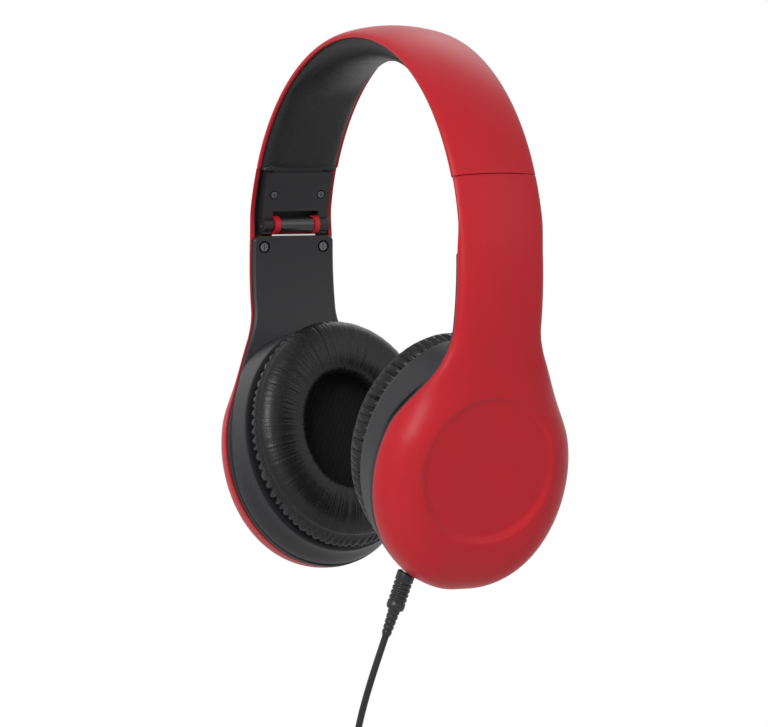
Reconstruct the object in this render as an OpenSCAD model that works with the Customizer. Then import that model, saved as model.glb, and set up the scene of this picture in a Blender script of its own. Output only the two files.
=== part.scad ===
// Folding over-ear headphones with a plug-in cable.
// Origin: underside of the head pad at the middle of the band.
// +Z up, +X the wearer's left, -Y the front.

/* [Headband] */
// Radius of the band along its side edges
band_r = 78; // [74:0.5:82]
// Angle that the band covers, from its middle to each end
band_half_angle = 67.8; // [64:0.5:70]
// Width of the band at its middle
band_mid_w = 31; // [28:0.5:34]
// Width of the band at its ends
band_end_w = 32.6; // [30:0.5:36]
// How far the middle of the outer face stands above its edges
crown_h = 2.3; // [1:0.1:3]
// Depth at which the crowned face springs from the side walls
side_lip = 1; // [0.6:0.1:1.6]
// Depth of the side walls' lower edges
wall_low = 2; // [1.7:0.1:2.4]
// Thickness of the moulded shells
skin = 1.8; // [1.2:0.1:2.2]
// Thickness of the head pad at its middle, below the band's edges
pad_t = 10; // [7:0.5:12]
// Angle from the middle at which the head pad ends
pad_half_angle = 46; // [40:1:50]

/* [Size adjuster] */
// Angle of the slide from the vertical
slide_angle = 28; // [24:1:32]
// Length that each strip can slide out of the band
slide_travel = 15; // [13:0.5:16]
// Length of strip that stays in the band when it is slid out
strip_hold = 6; // [4:0.5:8]
// Width of the steel slide strip
strip_w = 20; // [14:1:22]
// Thickness of the steel slide strip
strip_t = 1.2; // [0.8:0.1:1.6]

/* [Hinge block] */
// Angle at which the hinge block ends, above the arc's centre
block_low_angle = 3.6; // [2.6:0.1:4.2]
// Depth of the inner liner pieces below the band's edges
liner_d = 4.7; // [4:0.1:5.6]
// Height of the fold axis above the centre of the band's arc
fold_h = 8.4; // [8:0.2:9]
// Radius of the fold pin
pin_r = 1.2; // [0.8:0.1:1.4]
// Radius of the barrel on the fold pin
barrel_r = 2.8; // [2.4:0.1:2.9]
// Radius of the fold lugs
lug_r = 3.2; // [2.9:0.1:3.3]
// Width of one fold lug
lug_w = 2; // [1.5:0.1:3]
// Width of the window in the hinge block
window_w = 18.6; // [16:0.2:20]
// Height of the window above the fold axis
window_up = 4.9; // [4:0.1:5.4]

/* [Arm and cup] */
// Angle by which the front edges of the cups turn inwards
toe_in = 0; // [0:0.5:10]
// Radius of the arm below the hinge
arm_r = 120; // [100:5:160]
// Tilt of the cups, lower edge inwards
cup_tilt = 13.5; // [10:0.5:15]
// How far the cup's centre lies inside the band's radius
cup_in = 23.5; // [21:0.5:26]
// Depth of the cup's centre below the centre of the band's arc
cup_below = 73; // [70:0.5:76]
// Half of the cup shell's width
cup_a = 37.2; // [35:0.2:39]
// Half of the cup shell's height
cup_b = 41.5; // [39:0.5:43]
// Height of the cup shell's dome
dome_h = 14.5; // [12:0.5:16]
// Radius of the round dish in the cup shell
dish_r = 25.6; // [20:0.2:28]
// Depth of that dish
dish_d = 1.9; // [0.5:0.1:2.2]
// Height of the dish's centre above the cup's centre
dish_up = 5; // [2:0.5:6]
// Width of the arm where it meets the cup
arm_low_w = 33.8; // [32:0.2:36]

/* [Ear side] */
// Depth of the ring that carries the cushion
ring_depth = 11; // [9:0.5:13]
// Wall of that ring
ring_wall = 2; // [1.6:0.1:2.6]
// Half of the ring's width
ring_a = 35.6; // [33:0.2:36]
// Half of the ring's height
ring_b = 41; // [39:0.2:42]
// Height of the ring's centre above the cup's centre
ring_up = 3.2; // [1:0.2:4]
// Thickness of the ear cushion
cushion_t = 14; // [10:0.5:15]
// Width of the cushion's roll
cushion_w = 20.5; // [16:0.5:22]
// Radius of the speaker
driver_r = 18; // [16:0.5:22]

/* [Cable] */
// Radius of the cable
cord_r = 1.2; // [1:0.1:1.5]
// Radius of the plug tips
jack_r = 1.75; // [1.75:0.25:1.75]
// Length of the plug tips
jack_l = 14; // [14:0.5:15]
// Radius of the plug grips
grip_r = 3.2; // [2.8:0.1:3.6]
// Length of the plug grips
grip_l = 14; // [12:0.5:18]
// Length of the strain reliefs
relief_l = 9.5; // [7:0.5:14]

/* [Hidden] */

red = "#b8323a";
black = "#2b2b2d";
steel = "#b9bcc0";
gap = 0.3;                      // clearance between pieces that move past each other
fit = 0.05;                     // clearance of the fold pin in its lugs
touch = 0.03;                   // clearance between pieces that rest on each other
arc_z = pad_t - band_r;         // height of the centre of the band's arc
cup_x = band_r - cup_in;
cup_drop = cup_below - arc_z;
strip_up = slide_travel + strip_hold;
toe_x = 66;                     // distance of the upright axis that the toe-in turns about
seam_angle = 90 - band_half_angle;
wall_d = 2.5;                   // depth of an arm's side walls
pin_depth = 4.3;                // depth of the fold axis below the band's edges
pin_x = sqrt(pow(band_r - pin_depth, 2) - pow(fold_h, 2));
pin_z = arc_z + fold_h;
block_w = 26.4;                 // width of the hinge block

// Arc of the arm, tangent to the band's arc at the lower end of the block
bow_x = -(arm_r - band_r) * cos(block_low_angle);
bow_z = arc_z - (arm_r - band_r) * sin(block_low_angle);
bow_end = [bow_x + arm_r * cos(cup_tilt), bow_z - arm_r * sin(cup_tilt)];
flat_h = (bow_end[0] - cup_x) * cos(cup_tilt) - (bow_end[1] + cup_drop) * sin(cup_tilt);
flat_q = (bow_end[0] - cup_x) * sin(cup_tilt) + (bow_end[1] + cup_drop) * cos(cup_tilt);
bow_q = flat_q + arm_r * (cup_tilt + block_low_angle) * PI / 180;
top_q = bow_q + (band_r * (seam_angle - block_low_angle) * PI / 180) - gap;

function ease(x) = let (c = max(0, min(1, x))) c * c * (3 - 2 * c);
function lerp(a, b, t) = a + (b - a) * t;

// Closed skin between two grids of points, outer first, with all four rims joined
module grid_skin(outer, inner) {
    rows = len(outer);
    cols = len(outer[0]);
    n = rows * cols;
    pts = concat([for (r = outer) each r], [for (r = inner) each r]);
    quads = concat(
        [for (i = [0:rows - 2], j = [0:cols - 2])
            [i * cols + j, i * cols + j + 1, (i + 1) * cols + j + 1, (i + 1) * cols + j]],
        [for (i = [0:rows - 2], j = [0:cols - 2])
            [n + i * cols + j, n + (i + 1) * cols + j, n + (i + 1) * cols + j + 1,
             n + i * cols + j + 1]],
        [for (i = [0:rows - 2])
            [i * cols, (i + 1) * cols, n + (i + 1) * cols, n + i * cols]],
        [for (i = [0:rows - 2])
            [(i + 1) * cols + cols - 1, i * cols + cols - 1, n + i * cols + cols - 1,
             n + (i + 1) * cols + cols - 1]],
        [for (j = [0:cols - 2]) [j + 1, j, n + j, n + j + 1]],
        [for (j = [0:cols - 2])
            [(rows - 1) * cols + j, (rows - 1) * cols + j + 1,
             n + (rows - 1) * cols + j + 1, n + (rows - 1) * cols + j]]);
    polyhedron(pts, [for (q = quads) each [[q[0], q[2], q[1]], [q[0], q[3], q[2]]]]);
}

// Closed ring of rounded section, carried around an oval in the plane of the ear
module oval_ring(section, a, b, steps) {
    m = len(section);
    pts = [for (i = [0:steps - 1], p = section)
        let (t = 360 * i / steps)
        [p[1], (a + p[0]) * cos(t), (b + p[0]) * sin(t)]];
    polyhedron(pts, [for (i = [0:steps - 1], j = [0:m - 1])
        let (k = (i + 1) % steps, l = (j + 1) % m)
        each [[i * m + j, k * m + l, i * m + l], [i * m + j, k * m + j, k * m + l]]]);
}

// Flat oval plate in the plane of the ear, from height h0 to h1
module oval_plate(a, b, h0, h1) {
    translate([h0, 0, 0]) rotate([90, 0, 90])
        linear_extrude(h1 - h0) polygon([for (i = [0:59]) [a * cos(6 * i), b * sin(6 * i)]]);
}

// Tube of n sides and radius r through a list of points
module tube(points, r, n) {
    last = len(points) - 1;
    tangents = [for (i = [0:last])
        let (d = points[min(last, i + 1)] - points[max(0, i - 1)]) d / norm(d)];
    pts = [for (i = [0:last])
        let (t = tangents[i], u0 = cross(t, [0, 1, 0]), u = u0 / norm(u0), v = cross(t, u))
        for (j = [0:n - 1]) points[i] + r * (cos(360 * j / n) * u + sin(360 * j / n) * v)];
    polyhedron(pts, concat([[for (j = [n - 1:-1:0]) j]], [[for (j = [0:n - 1]) last * n + j]],
        [for (i = [0:last - 1], j = [0:n - 1]) let (k = (j + 1) % n)
            each [[i * n + j, i * n + k, (i + 1) * n + k],
                  [i * n + j, (i + 1) * n + k, (i + 1) * n + j]]]));
}

module toe() {
    translate([toe_x, 0, 0]) rotate([0, 0, -toe_in]) translate([-toe_x, 0, 0]) children();
}

// Puts a piece on the left or the right side of the headphones
module on_side(side) {
    mirror([side == "left" ? 0 : 1, 0, 0]) toe() children();
}

// Plane of the ear: x outwards, y back, z up, origin at the middle of the cup's rim
module on_cup() {
    translate([cup_x, 0, -cup_drop]) rotate([0, cup_tilt, 0]) children();
}

// ---- Headband ----
function band_twist(a) = toe_in * ease(abs(a) / band_half_angle);
function band_w(a) = lerp(band_mid_w, band_end_w, ease(abs(a) / band_half_angle));
// Point of the band at angle a from its middle, u across it, r from the arc's centre
function band_at(a, u, r) =
    let (side = a < 0 ? -1 : 1, x = r * sin(abs(a)), t = band_twist(a), dx = x - toe_x)
    [side * (toe_x + dx * cos(t) + u * sin(t)), -dx * sin(t) + u * cos(t),
     arc_z + r * cos(a)];
// Height of a crowned face above its rim, s from -1 at one edge to 1 at the other
function face_h(s, side, dome, m, e) =
    side * sqrt(1 - pow(abs(s), 12)) + dome * pow(1 - pow(abs(s), m), e);

rim_w = 1.3;                    // width of the band shell's side walls
band_cols = [for (k = [0:16]) sin(lerp(-90, 90, k / 16))];
band_rows = [for (k = [0:36]) lerp(-band_half_angle, band_half_angle, k / 36)];
pad_rows = [for (a = band_rows) if (abs(a) <= pad_half_angle) a];
pad_top_r = band_r - side_lip - touch;

// Moulded shell of the band, an open channel with a crowned face
module band_shell() {
    thin = 1 - skin / (side_lip + crown_h);
    rim_r = band_r - side_lip;
    function shell_at(a, half, s, part) = abs(s) > 1
        ? band_at(a, sign(s) * half, band_r - wall_low)
        : band_at(a, s * half, rim_r + part * face_h(s, side_lip, crown_h, 2, 1));
    cols = concat([-2], band_cols, [2]);
    color(red) grid_skin(
        [for (a = band_rows) [for (s = cols) shell_at(a, band_w(a) / 2, s, 1)]],
        [for (a = band_rows) [for (s = cols) shell_at(a, band_w(a) / 2 - rim_w, s, thin)]]);
}

// Padded lining of the band, thickest in the middle, sunk between the shell's side walls
module head_pad() {
    last = pad_rows[len(pad_rows) - 1];
    color(black) grid_skin(
        [for (a = pad_rows) [for (s = band_cols)
            band_at(a, s * (band_w(a) / 2 - rim_w - touch), pad_top_r)]],
        [for (a = pad_rows) [for (s = band_cols)
            let (deep = lerp(liner_d - 1.6, pad_t, pow(max(0, cos(90 * a / last)), 0.7)))
            band_at(a, s * (band_w(a) / 2 - rim_w - touch),
                band_r - side_lip - 0.8
                    - (deep - side_lip - 0.8) * sqrt(1 - pow(abs(s), 2.6)))]]);
}

// Spring steel strip that lies on the pad, under the crown of the shell
spring_half_angle = 40;
spring_w = 12;
spring_t = 0.7;
module band_spring() {
    low_r = pad_top_r + gap;
    rows = [for (a = pad_rows) if (abs(a) <= spring_half_angle) a];
    function spring_grid(r) = [for (a = rows) [for (s = [-1, -0.5, 0, 0.5, 1])
        band_at(a, s * spring_w / 2, r)]];
    color(steel) grid_skin(spring_grid(low_r + spring_t), spring_grid(low_r));
}

// Black channel that closes the underside of a band end and guides the slide strip
module guide_cover(side) {
    sg = side == "left" ? 1 : -1;
    rows = [for (k = [0:6])
        sg * lerp(pad_rows[len(pad_rows) - 1] + 0.4, band_half_angle - 0.05, k / 6)];
    cols = [-1, -0.97, -0.92, -0.9, -0.5, 0, 0.5, 0.9, 0.92, 0.97, 1];
    wall = band_r - side_lip - 0.05;
    floor_r = band_r - 3.3;
    cover = [for (a = rows) [for (s = cols)
        band_at(a, s * (band_w(a) / 2 - rim_w - touch), abs(s) > 0.91 ? wall : floor_r)]];
    face = [for (a = rows) [for (s = cols)
        band_at(a, s * (band_w(a) / 2 - rim_w - touch),
            band_r - (abs(s) == 1 ? 3.4 : abs(s) > 0.96 ? 4.2 : liner_d))]];
    color(black) if (side == "left") grid_skin(cover, face);
    else grid_skin([for (k = [6:-1:0]) cover[k]], [for (k = [6:-1:0]) face[k]]);
}

// ---- Slide and hinge block ----
strip_r = band_r - 2;           // distance of the strip from the arc's centre at the seam
strip_in = 7;                   // length of strip inside the block
module on_strip() {
    translate([strip_r * cos(seam_angle), 0, arc_z + strip_r * sin(seam_angle)])
        rotate([0, -slide_angle, 0]) children();
}
module strip_bar() {
    translate([-strip_t / 2, -strip_w / 2, -strip_in]) cube([strip_t, strip_w, strip_in + strip_up]);
}

// Steel strip of the size adjuster, with a row of click holes along each edge
module slide_strip(side) {
    hole_r = 0.8;
    pitch = 3;
    color(steel) on_side(side) on_strip() difference() {
        strip_bar();
        for (k = [0:5], s = [-1, 1])
            translate([0, s * (strip_w / 2 - 2), 3 + k * pitch]) rotate([0, 90, 0])
                cylinder(r = hole_r, h = 4, center = true, $fn = 16);
    }
}

// Arc plate between two radii about the band's centre, in the plane of a side
module arc_plate(r0, r1, a0, a1, w) {
    translate([0, 0, arc_z]) rotate([90, 0, 0]) linear_extrude(w, center = true)
        intersection() {
            difference() {
                circle(r1, $fn = 180);
                circle(r0, $fn = 180);
            }
            polygon([[0, 0], [2 * r1 * cos(a0), 2 * r1 * sin(a0)],
                [2 * r1 * cos(a1), 2 * r1 * sin(a1)]]);
        }
}
module at_pin() {
    translate([pin_x, 0, pin_z]) rotate([90, 0, 0]) children();
}

// Hinge block on the end of the strip, with a window for the lugs of the arm
knuckle_r = 2.5;                // radius of the block's material round the pin
block_back = 0.9;               // depth of the block's back below the band's edges
block_step_angle = 7;           // angle below which the arm swings past the block
swing_r = 3.4;                  // reach of the block's lower end from the fold axis
block_gap_angle = 0.45;
module hinge_block(side) {
    color(black) on_side(side) difference() {
        union() {
            arc_plate(band_r - liner_d, band_r - block_back, block_step_angle,
                seam_angle - block_gap_angle, block_w);
            intersection() {
                arc_plate(band_r - liner_d, band_r - block_back,
                    block_low_angle + block_gap_angle, block_step_angle + 1, block_w);
                at_pin() cylinder(r = swing_r, h = block_w, center = true, $fn = 64);
            }
            at_pin() cylinder(r = knuckle_r, h = block_w, center = true, $fn = 40);
        }
        on_strip() strip_bar();
        translate([pin_x - 6, -window_w / 2, pin_z - 20]) cube([14, window_w, 20 + window_up]);
        at_pin() cylinder(r = pin_r, h = block_w + 2, center = true, $fn = 32);
        for (s = [-1, 1]) block_screw_place(s) {
            cylinder(r = 1.6, h = 3, $fn = 24);
            translate([0, 0, -2]) cylinder(r = 0.7, h = 2.5, $fn = 16);
        }
    }
}

// Seats of the two small screws on the block's inner face, z pointing out of the face
block_screw_angle = 15.2;
module block_screw_place(s) {
    r = band_r - liner_d + 0.6;
    translate([r * cos(block_screw_angle), s * 9.5, arc_z + r * sin(block_screw_angle)])
        rotate([0, -90 - block_screw_angle, 0]) children();
}

// Screw with a cross recess, head seated at z = 0, shank downwards
module cross_screw(head_r, head_h, shank_r, shank_l) {
    difference() {
        union() {
            cylinder(r1 = head_r, r2 = head_r * 0.8, h = head_h, $fn = 24);
            translate([0, 0, -shank_l]) cylinder(r = shank_r, h = shank_l + 0.1, $fn = 16);
        }
        for (t = [0, 90]) rotate([0, 0, t])
            translate([-head_r * 0.6, -0.16, head_h - 0.4]) cube([head_r * 1.2, 0.32, 1]);
    }
}
module block_screws(side) {
    color(steel) on_side(side) for (s = [-1, 1])
        block_screw_place(s) cross_screw(1.5, 0.7, 0.65, 1.9);
}

module fold_pin(side) {
    color(steel) on_side(side) at_pin()
        cylinder(r = pin_r, h = block_w - 0.6, center = true, $fn = 32);
}
module fold_barrel(side) {
    w = window_w - 2 * (lug_w + 2 * gap);
    color(black) on_side(side) at_pin() difference() {
        cylinder(r = barrel_r, h = w, center = true, $fn = 40);
        cylinder(r = pin_r, h = w + 2, center = true, $fn = 32);
    }
}

// ---- Arm and cup ----
// Frame at developed height q of the arm, x outwards along its normal, z up
function arm_tilt(q) = q <= flat_q ? -cup_tilt
    : q <= bow_q ? -cup_tilt + (q - flat_q) / arm_r * 180 / PI
    : block_low_angle + (q - bow_q) / band_r * 180 / PI;
function arm_base(q) = q <= flat_q
    ? [cup_x + flat_h * cos(cup_tilt) + q * sin(cup_tilt),
       -cup_drop - flat_h * sin(cup_tilt) + q * cos(cup_tilt)]
    : q <= bow_q
    ? [bow_x + arm_r * cos(arm_tilt(q)), bow_z + arm_r * sin(arm_tilt(q))]
    : [band_r * cos(arm_tilt(q)), arc_z + band_r * sin(arm_tilt(q))];
function arm_at(q, u, d) = let (p = arm_base(q), t = arm_tilt(q))
    [p[0] + d * cos(t), u, p[1] + d * sin(t)];
module on_arm(q) {
    p = arm_base(q);
    translate([p[0], 0, p[1]]) rotate([0, -arm_tilt(q), 0]) children();
}

// Half-width of the teardrop at height q
neck_q = 54;
swell_q = 20;
function hermite(t, p0, m0, p1, m1) = (2 * t * t * t - 3 * t * t + 1) * p0
    + (t * t * t - 2 * t * t + t) * m0 + (3 * t * t - 2 * t * t * t) * p1
    + (t * t * t - t * t) * m1;
swell_w = cup_a * sqrt(1 - pow(swell_q / cup_b, 2));
swell_slope = -pow(cup_a / cup_b, 2) * swell_q / swell_w;
function cup_w(q, inset = 0) = q < 0
    ? (cup_a - inset) * sqrt(max(0, 1 - pow(q / (cup_b - inset), 2)))
    : q <= swell_q ? cup_a * sqrt(1 - pow(q / cup_b, 2)) - inset
    : q <= neck_q ? hermite((q - swell_q) / (neck_q - swell_q), swell_w,
        swell_slope * (neck_q - swell_q), arm_low_w / 2, -1) - inset
    : lerp(arm_low_w / 2, band_end_w / 2, (q - neck_q) / (top_q - neck_q)) - inset;

// Depth of the shell's rim below the arm's edge line, and heights of wall and dome above it
function rim_d(q) = q >= flat_q
    ? -lerp(wall_d, side_lip, ease((q - bow_q + 2) / 12))
    : lerp(-flat_h, -wall_d, ease((q - 18) / 24));
function bulge(q) = q < 0 ? pow(max(0, 1 - pow(abs(q) / cup_b, dome_m)), dome_e) : 1;
function arm_mix(q) = ease((q - 12) / (flat_q - 10));
dome_m = 4.5;
dome_e = 0.5;
dome_side = 1.5;
function wall_h(q) = bulge(q) * lerp(dome_side, -rim_d(max(q, flat_q)), arm_mix(q));
function crown(q) = q < 0 ? bulge(q) * (dome_h - dome_side)
    : lerp(dome_h - flat_h, crown_h, arm_mix(q)) - rim_d(q) - wall_h(q);
function outer_h(q, s) = face_h(s, wall_h(q), crown(q),
    lerp(dome_m, 2, arm_mix(q)), lerp(dome_e, 1, arm_mix(q)));

shell_cols = [for (k = [0:18]) sin(lerp(-90, 90, k / 18))];
low_rows = [for (t = [-86, -80, -72, -63, -54, -44, -33, -22, -11]) sin(t)];
high_rows = concat([0, 6, 12, 17, 22, 27, 31, 35, 39, 43, 47, 52, 58, 64, 70, 76],
    [for (k = [0:5]) lerp(bow_q, top_q, k / 5)]);

// Teardrop shell of a cup and its arm, with a round dish in its dome
module outer_shell(side) {
    outer = concat([for (v = low_rows) [for (s = shell_cols)
            arm_at(cup_b * v, s * cup_w(cup_b * v), rim_d(cup_b * v) + outer_h(cup_b * v, s))]],
        [for (q = high_rows) [for (s = shell_cols)
            arm_at(q, s * cup_w(q), rim_d(q) + outer_h(q, s))]]);
    cap = dome_h - flat_h - dish_d - skin;
    function under(q, s) = let (full = wall_h(q) + crown(q))
        min(cap - rim_d(q), max(0.1, 1 - skin / full) * outer_h(q, s));
    inner = concat([for (v = low_rows) [for (s = shell_cols)
            let (q = (cup_b - 1.6) * v)
            arm_at(q, s * cup_w(q, 1.6), rim_d(q) + under(cup_b * v, s))]],
        [for (q = high_rows) [for (s = shell_cols)
            arm_at(q, s * cup_w(q, 1.6), rim_d(q) + under(q, s))]]);
    color(red) on_side(side) difference() {
        grid_skin(outer, inner);
        on_cup() translate([0, 0, dish_up]) rotate([0, 90, 0]) dish_cutter();
    }
}
module dish_cutter() {
    floor_h = dome_h - dish_d;
    rotate_extrude($fn = 72) polygon(concat([[0, dome_h + 9], [0, floor_h - 0.3]],
        [for (k = [0:5]) [dish_r - 2 + 0.6 * k, floor_h + (dish_d + 1) * pow(k / 5, 2)]],
        [[dish_r + 1, dome_h + 9]]));
}

// Black cover that closes the inner side of the arm and the back of the cup
cover_t = 2.2;
cover_top_q = bow_q - gap;
module inner_cover(side) {
    rows = concat([for (v = low_rows) cup_b * v],
        [0, 8, 16, 20, 24, 28, 32, 36, 40, 44, 50, 57, 65, 73, cover_top_q - 2,
         cover_top_q - 0.7, cover_top_q]);
    cols = [-1, -0.9, -0.6, -0.3, 0, 0.3, 0.6, 0.9, 1];
    function w(q) = cup_w(q < 0 ? q * (cup_b - 0.5) / cup_b : q, 0.5)
        - 2 * pow(max(0, (q - cover_top_q + 2) / 2), 2);
    color(black) on_side(side) difference() {
        grid_skin([for (q = rows) [for (s = cols) arm_at(q, s * w(q), rim_d(q) - touch)]],
            [for (q = rows) [for (s = cols) arm_at(q, s * w(q),
                rim_d(q) - cover_t + (abs(s) == 1 ? 0.5 : 0))]]);
        for (s = [-1, 1]) arm_screw_place(s) {
            cylinder(r = 2.3, h = 4, $fn = 32);
            translate([0, 0, -4]) cylinder(r = 1.1, h = 5, $fn = 24);
        }
    }
}
arm_screw_q = bow_q - 4.4;
module arm_screw_place(s) {
    on_arm(arm_screw_q) translate([-wall_d - cover_t + 1.1, s * 12, 0])
        rotate([0, -90, 0]) children();
}
module arm_screws(side) {
    color(steel) on_side(side) for (s = [-1, 1])
        arm_screw_place(s) cross_screw(1.9, 0.9, 1, 2.4);
}

// Bracket behind the cover: a plate with the two lugs that turn on the fold pin
plate_out = 1.4;
module fold_bracket(side) {
    plate_in = wall_d - 0.05;
    color(red) on_side(side) difference() {
        union() {
            for (s = [-1, 1]) at_pin() {
                translate([0, 0, s * (window_w / 2 - gap - lug_w / 2)]) {
                    cylinder(r = lug_r, h = lug_w, center = true, $fn = 40);
                    translate([pin_depth - plate_in, -3.6, -lug_w / 2])
                        cube([lug_r + 0.6 - pin_depth + plate_in, 3.6, lug_w]);
                }
            }
            on_arm(arm_screw_q) {
                translate([-plate_in, -13.4, -5]) cube([plate_out, 26.8, 8.6]);
                translate([-plate_in, -window_w / 2 + gap, 3])
                    cube([plate_out, window_w - 2 * gap, 4]);
            }
        }
        at_pin() cylinder(r = pin_r + fit, h = window_w, center = true, $fn = 32);
        for (s = [-1, 1]) arm_screw_place(s)
            translate([0, 0, -4]) cylinder(r = 1, h = 5, $fn = 24);
        at_pin() cylinder(r = barrel_r + gap, h = window_w - 2 * (lug_w + gap), center = true,
            $fn = 40);
    }
}

// Spring leaf along the lower edge of the window, over the top of the cover
leaf_w = 1.1;
module latch_leaf(side) {
    w = window_w - 2 * gap - 0.4;
    color(steel) on_side(side) on_arm(cover_top_q)
        translate([-wall_d - 1.6, -w / 2, touch]) cube([leaf_w, w, 0.5]);
}

// ---- Ear side ----
bowl_top = -cover_t - touch;
bowl_floor = 1.6;
bowl_low = bowl_top - ring_depth;
module bowl_section(inset) {
    translate([0, 0, ring_up]) oval_plate(ring_a - inset, ring_b - inset,
        bowl_low - (inset > 0 ? 1 : 0), bowl_top - (inset > 0 ? bowl_floor : 0));
}

// Oval bowl that stands behind the cover and holds the speaker
module cup_bowl(side) {
    color(black) on_side(side) on_cup() difference() {
        translate([0, 0, ring_up]) bowl_body();
        bowl_section(ring_wall);
        if (side == "left") on_plug() translate([0, 0, -3])
            cylinder(r = socket_r + touch, h = 16, $fn = 40);
    }
}
module bowl_body() {
    steps = 60;
    edge = [[0, bowl_low], [0, bowl_top - 1.5], [-0.6, bowl_top - 0.5], [-1.6, bowl_top]];
    pts = [for (p = edge, i = [0:steps - 1])
        [p[1], (ring_a + p[0]) * cos(6 * i), (ring_b + p[0]) * sin(6 * i)]];
    polyhedron(pts, concat([[for (i = [0:steps - 1]) i]],
        [[for (i = [steps - 1:-1:0]) 3 * steps + i]],
        [for (k = [0:2], i = [0:steps - 1]) let (j = (i + 1) % steps)
            each [[k * steps + i, (k + 1) * steps + j, k * steps + j],
                  [k * steps + i, (k + 1) * steps + i, (k + 1) * steps + j]]]));
}

baffle_t = 2;
driver_up = 4;
module baffle(side) {
    a = ring_a - ring_wall - touch;
    b = ring_b - ring_wall - touch;
    color(black) on_side(side) on_cup() difference() {
        translate([0, 0, ring_up]) oval_plate(a, b, bowl_low, bowl_low + baffle_t);
        translate([bowl_low - 1, 0, driver_up]) rotate([0, 90, 0])
            cylinder(r = driver_r, h = baffle_t + 2, $fn = 60);
        for (t = [35:70:325]) baffle_screw_place(t) {
            translate([0, 0, -4]) cylinder(r = 0.9, h = 8, $fn = 20);
            cylinder(r = 1.9, h = 2, $fn = 24);
        }
    }
}
// Seats of the baffle's screws, between the speaker and the wall of the ring
seat_mix = 0.42;
module baffle_screw_place(t) {
    translate([bowl_low + 0.9, lerp(driver_r, ring_a - ring_wall, seat_mix) * cos(t),
        driver_up + lerp(driver_r, ring_b - ring_wall, seat_mix) * sin(t)])
        rotate([0, -90, 0]) children();
}
module baffle_screws(side) {
    color(steel) on_side(side) on_cup() for (t = [35:70:325])
        baffle_screw_place(t) cross_screw(1.6, 0.7, 0.9, 3.2);
}
module on_driver() {
    translate([bowl_low, 0, driver_up]) rotate([0, 90, 0]) children();
}

// Basket of the speaker, its magnet behind it and its diaphragm in front
module driver_basket(side) {
    color(black) on_side(side) on_cup() on_driver() rotate_extrude($fn = 60)
        polygon([[driver_r - 0.03, 0], [driver_r - 0.03, 2.4], [15, 4.6], [10.5, 4.6],
            [10.5, 3.4], [14, 3.4], [driver_r - 2, 1.6], [driver_r - 2, 0]]);
}
module magnet(side) {
    color(steel) on_side(side) on_cup() on_driver() translate([0, 0, 3.3])
        cylinder(r = 10.45, h = 3.4, $fn = 48);
}
module diaphragm(side) {
    color(steel) on_side(side) on_cup() on_driver() rotate_extrude($fn = 48)
        polygon([[0, 1.9], [4, 1.7], [7, 1], [11, 2.2], [15.97, 0.4], [15.97, 0.7],
            [11, 2.6], [7, 1.4], [4, 2.1], [0, 2.3]]);
}

// Thin cloth over the speaker, inside the cushion
cushion_up = 5;
cushion_a = 36;
cushion_b = 40;
module ear_cloth(side) {
    color(black) on_side(side) on_cup() translate([0, 0, cushion_up])
        oval_plate(cushion_a - 15.3, cushion_b - 15.3, bowl_low - 1.0, bowl_low - 0.75);
}

// Soft ear cushion: rounded roll with a drawn-in back edge and a sloped inner face
module ear_cushion(side) {
    w = cushion_w;
    t = cushion_t;
    section = [[-1.6, -0.8], [-3, -0.02], [-w + 6, -0.02], [-w + 4.5, -2.4], [-w + 1.6, -4],
        [-w + 0.3, -6.4], [-w, -9], [-w + 1, -t + 2.4], [-w + 3.6, -t + 0.7], [-w + 7, -t],
        [-w + 11, -t + 0.2], [-4.6, -t + 1.2], [-2, -t + 3], [-0.5, -t + 5.4], [0, -t + 8],
        [-0.5, -3.6], [-1.2, -2]];
    color(black) on_side(side) on_cup() translate([bowl_low - touch, 0, cushion_up])
        oval_ring(section, cushion_a, cushion_b, 60);
}

// ---- Cable ----
plug_h = -7.6;
plug_u = -15.2;
plug_v = -37.6;
plug_lean = 13;
socket_r = 3.2;
stub_r = jack_r - 0.35;         // the shank's foot, held inside the grip
module on_plug() {
    translate([plug_h, plug_u, plug_v]) rotate([-plug_lean, 0, 0]) children();
}
// Point of the plug's axis at height z, in the part's frame
function plug_at(z) = let (y = plug_u + z * sin(plug_lean), v = plug_v + z * cos(plug_lean),
    dx = cup_x + plug_h * cos(cup_tilt) + v * sin(cup_tilt) - toe_x)
    [toe_x + dx * cos(toe_in) + y * sin(toe_in), -dx * sin(toe_in) + y * cos(toe_in),
     -cup_drop - plug_h * sin(cup_tilt) + v * cos(cup_tilt)];
module jack_socket() {
    color(black) on_side("left") on_cup() on_plug() difference() {
        translate([0, 0, 2.6]) cylinder(r = socket_r, h = 13.2, $fn = 40);
        translate([0, 0, 1]) cylinder(r = jack_r + fit, h = 13.6, $fn = 32);
    }
}
module tip_shape() {
    rotate_extrude($fn = 32) polygon([[0, -1], [stub_r, -1], [stub_r, touch],
        [jack_r, touch], [jack_r, jack_l - 3.4],
        [jack_r * 0.75, jack_l - 2.9], [jack_r * 0.95, jack_l - 1.8], [0.5, jack_l],
        [0, jack_l]]);
}
module grip_shape() {
    rib = 1.6;
    rotate_extrude($fn = 40) polygon(concat(
        [[0, 0], [grip_r - 0.5, 0], [grip_r, -0.5], [grip_r, -3.4]],
        [for (k = [0:3]) each [[grip_r - 0.45, -3.8 - k * rib], [grip_r - 0.45, -4.4 - k * rib],
            [grip_r, -4.8 - k * rib], [grip_r, -5.2 - k * rib]]],
        [[grip_r, -grip_l + 0.6], [grip_r - 0.6, -grip_l], [0, -grip_l]]));
}
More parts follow.
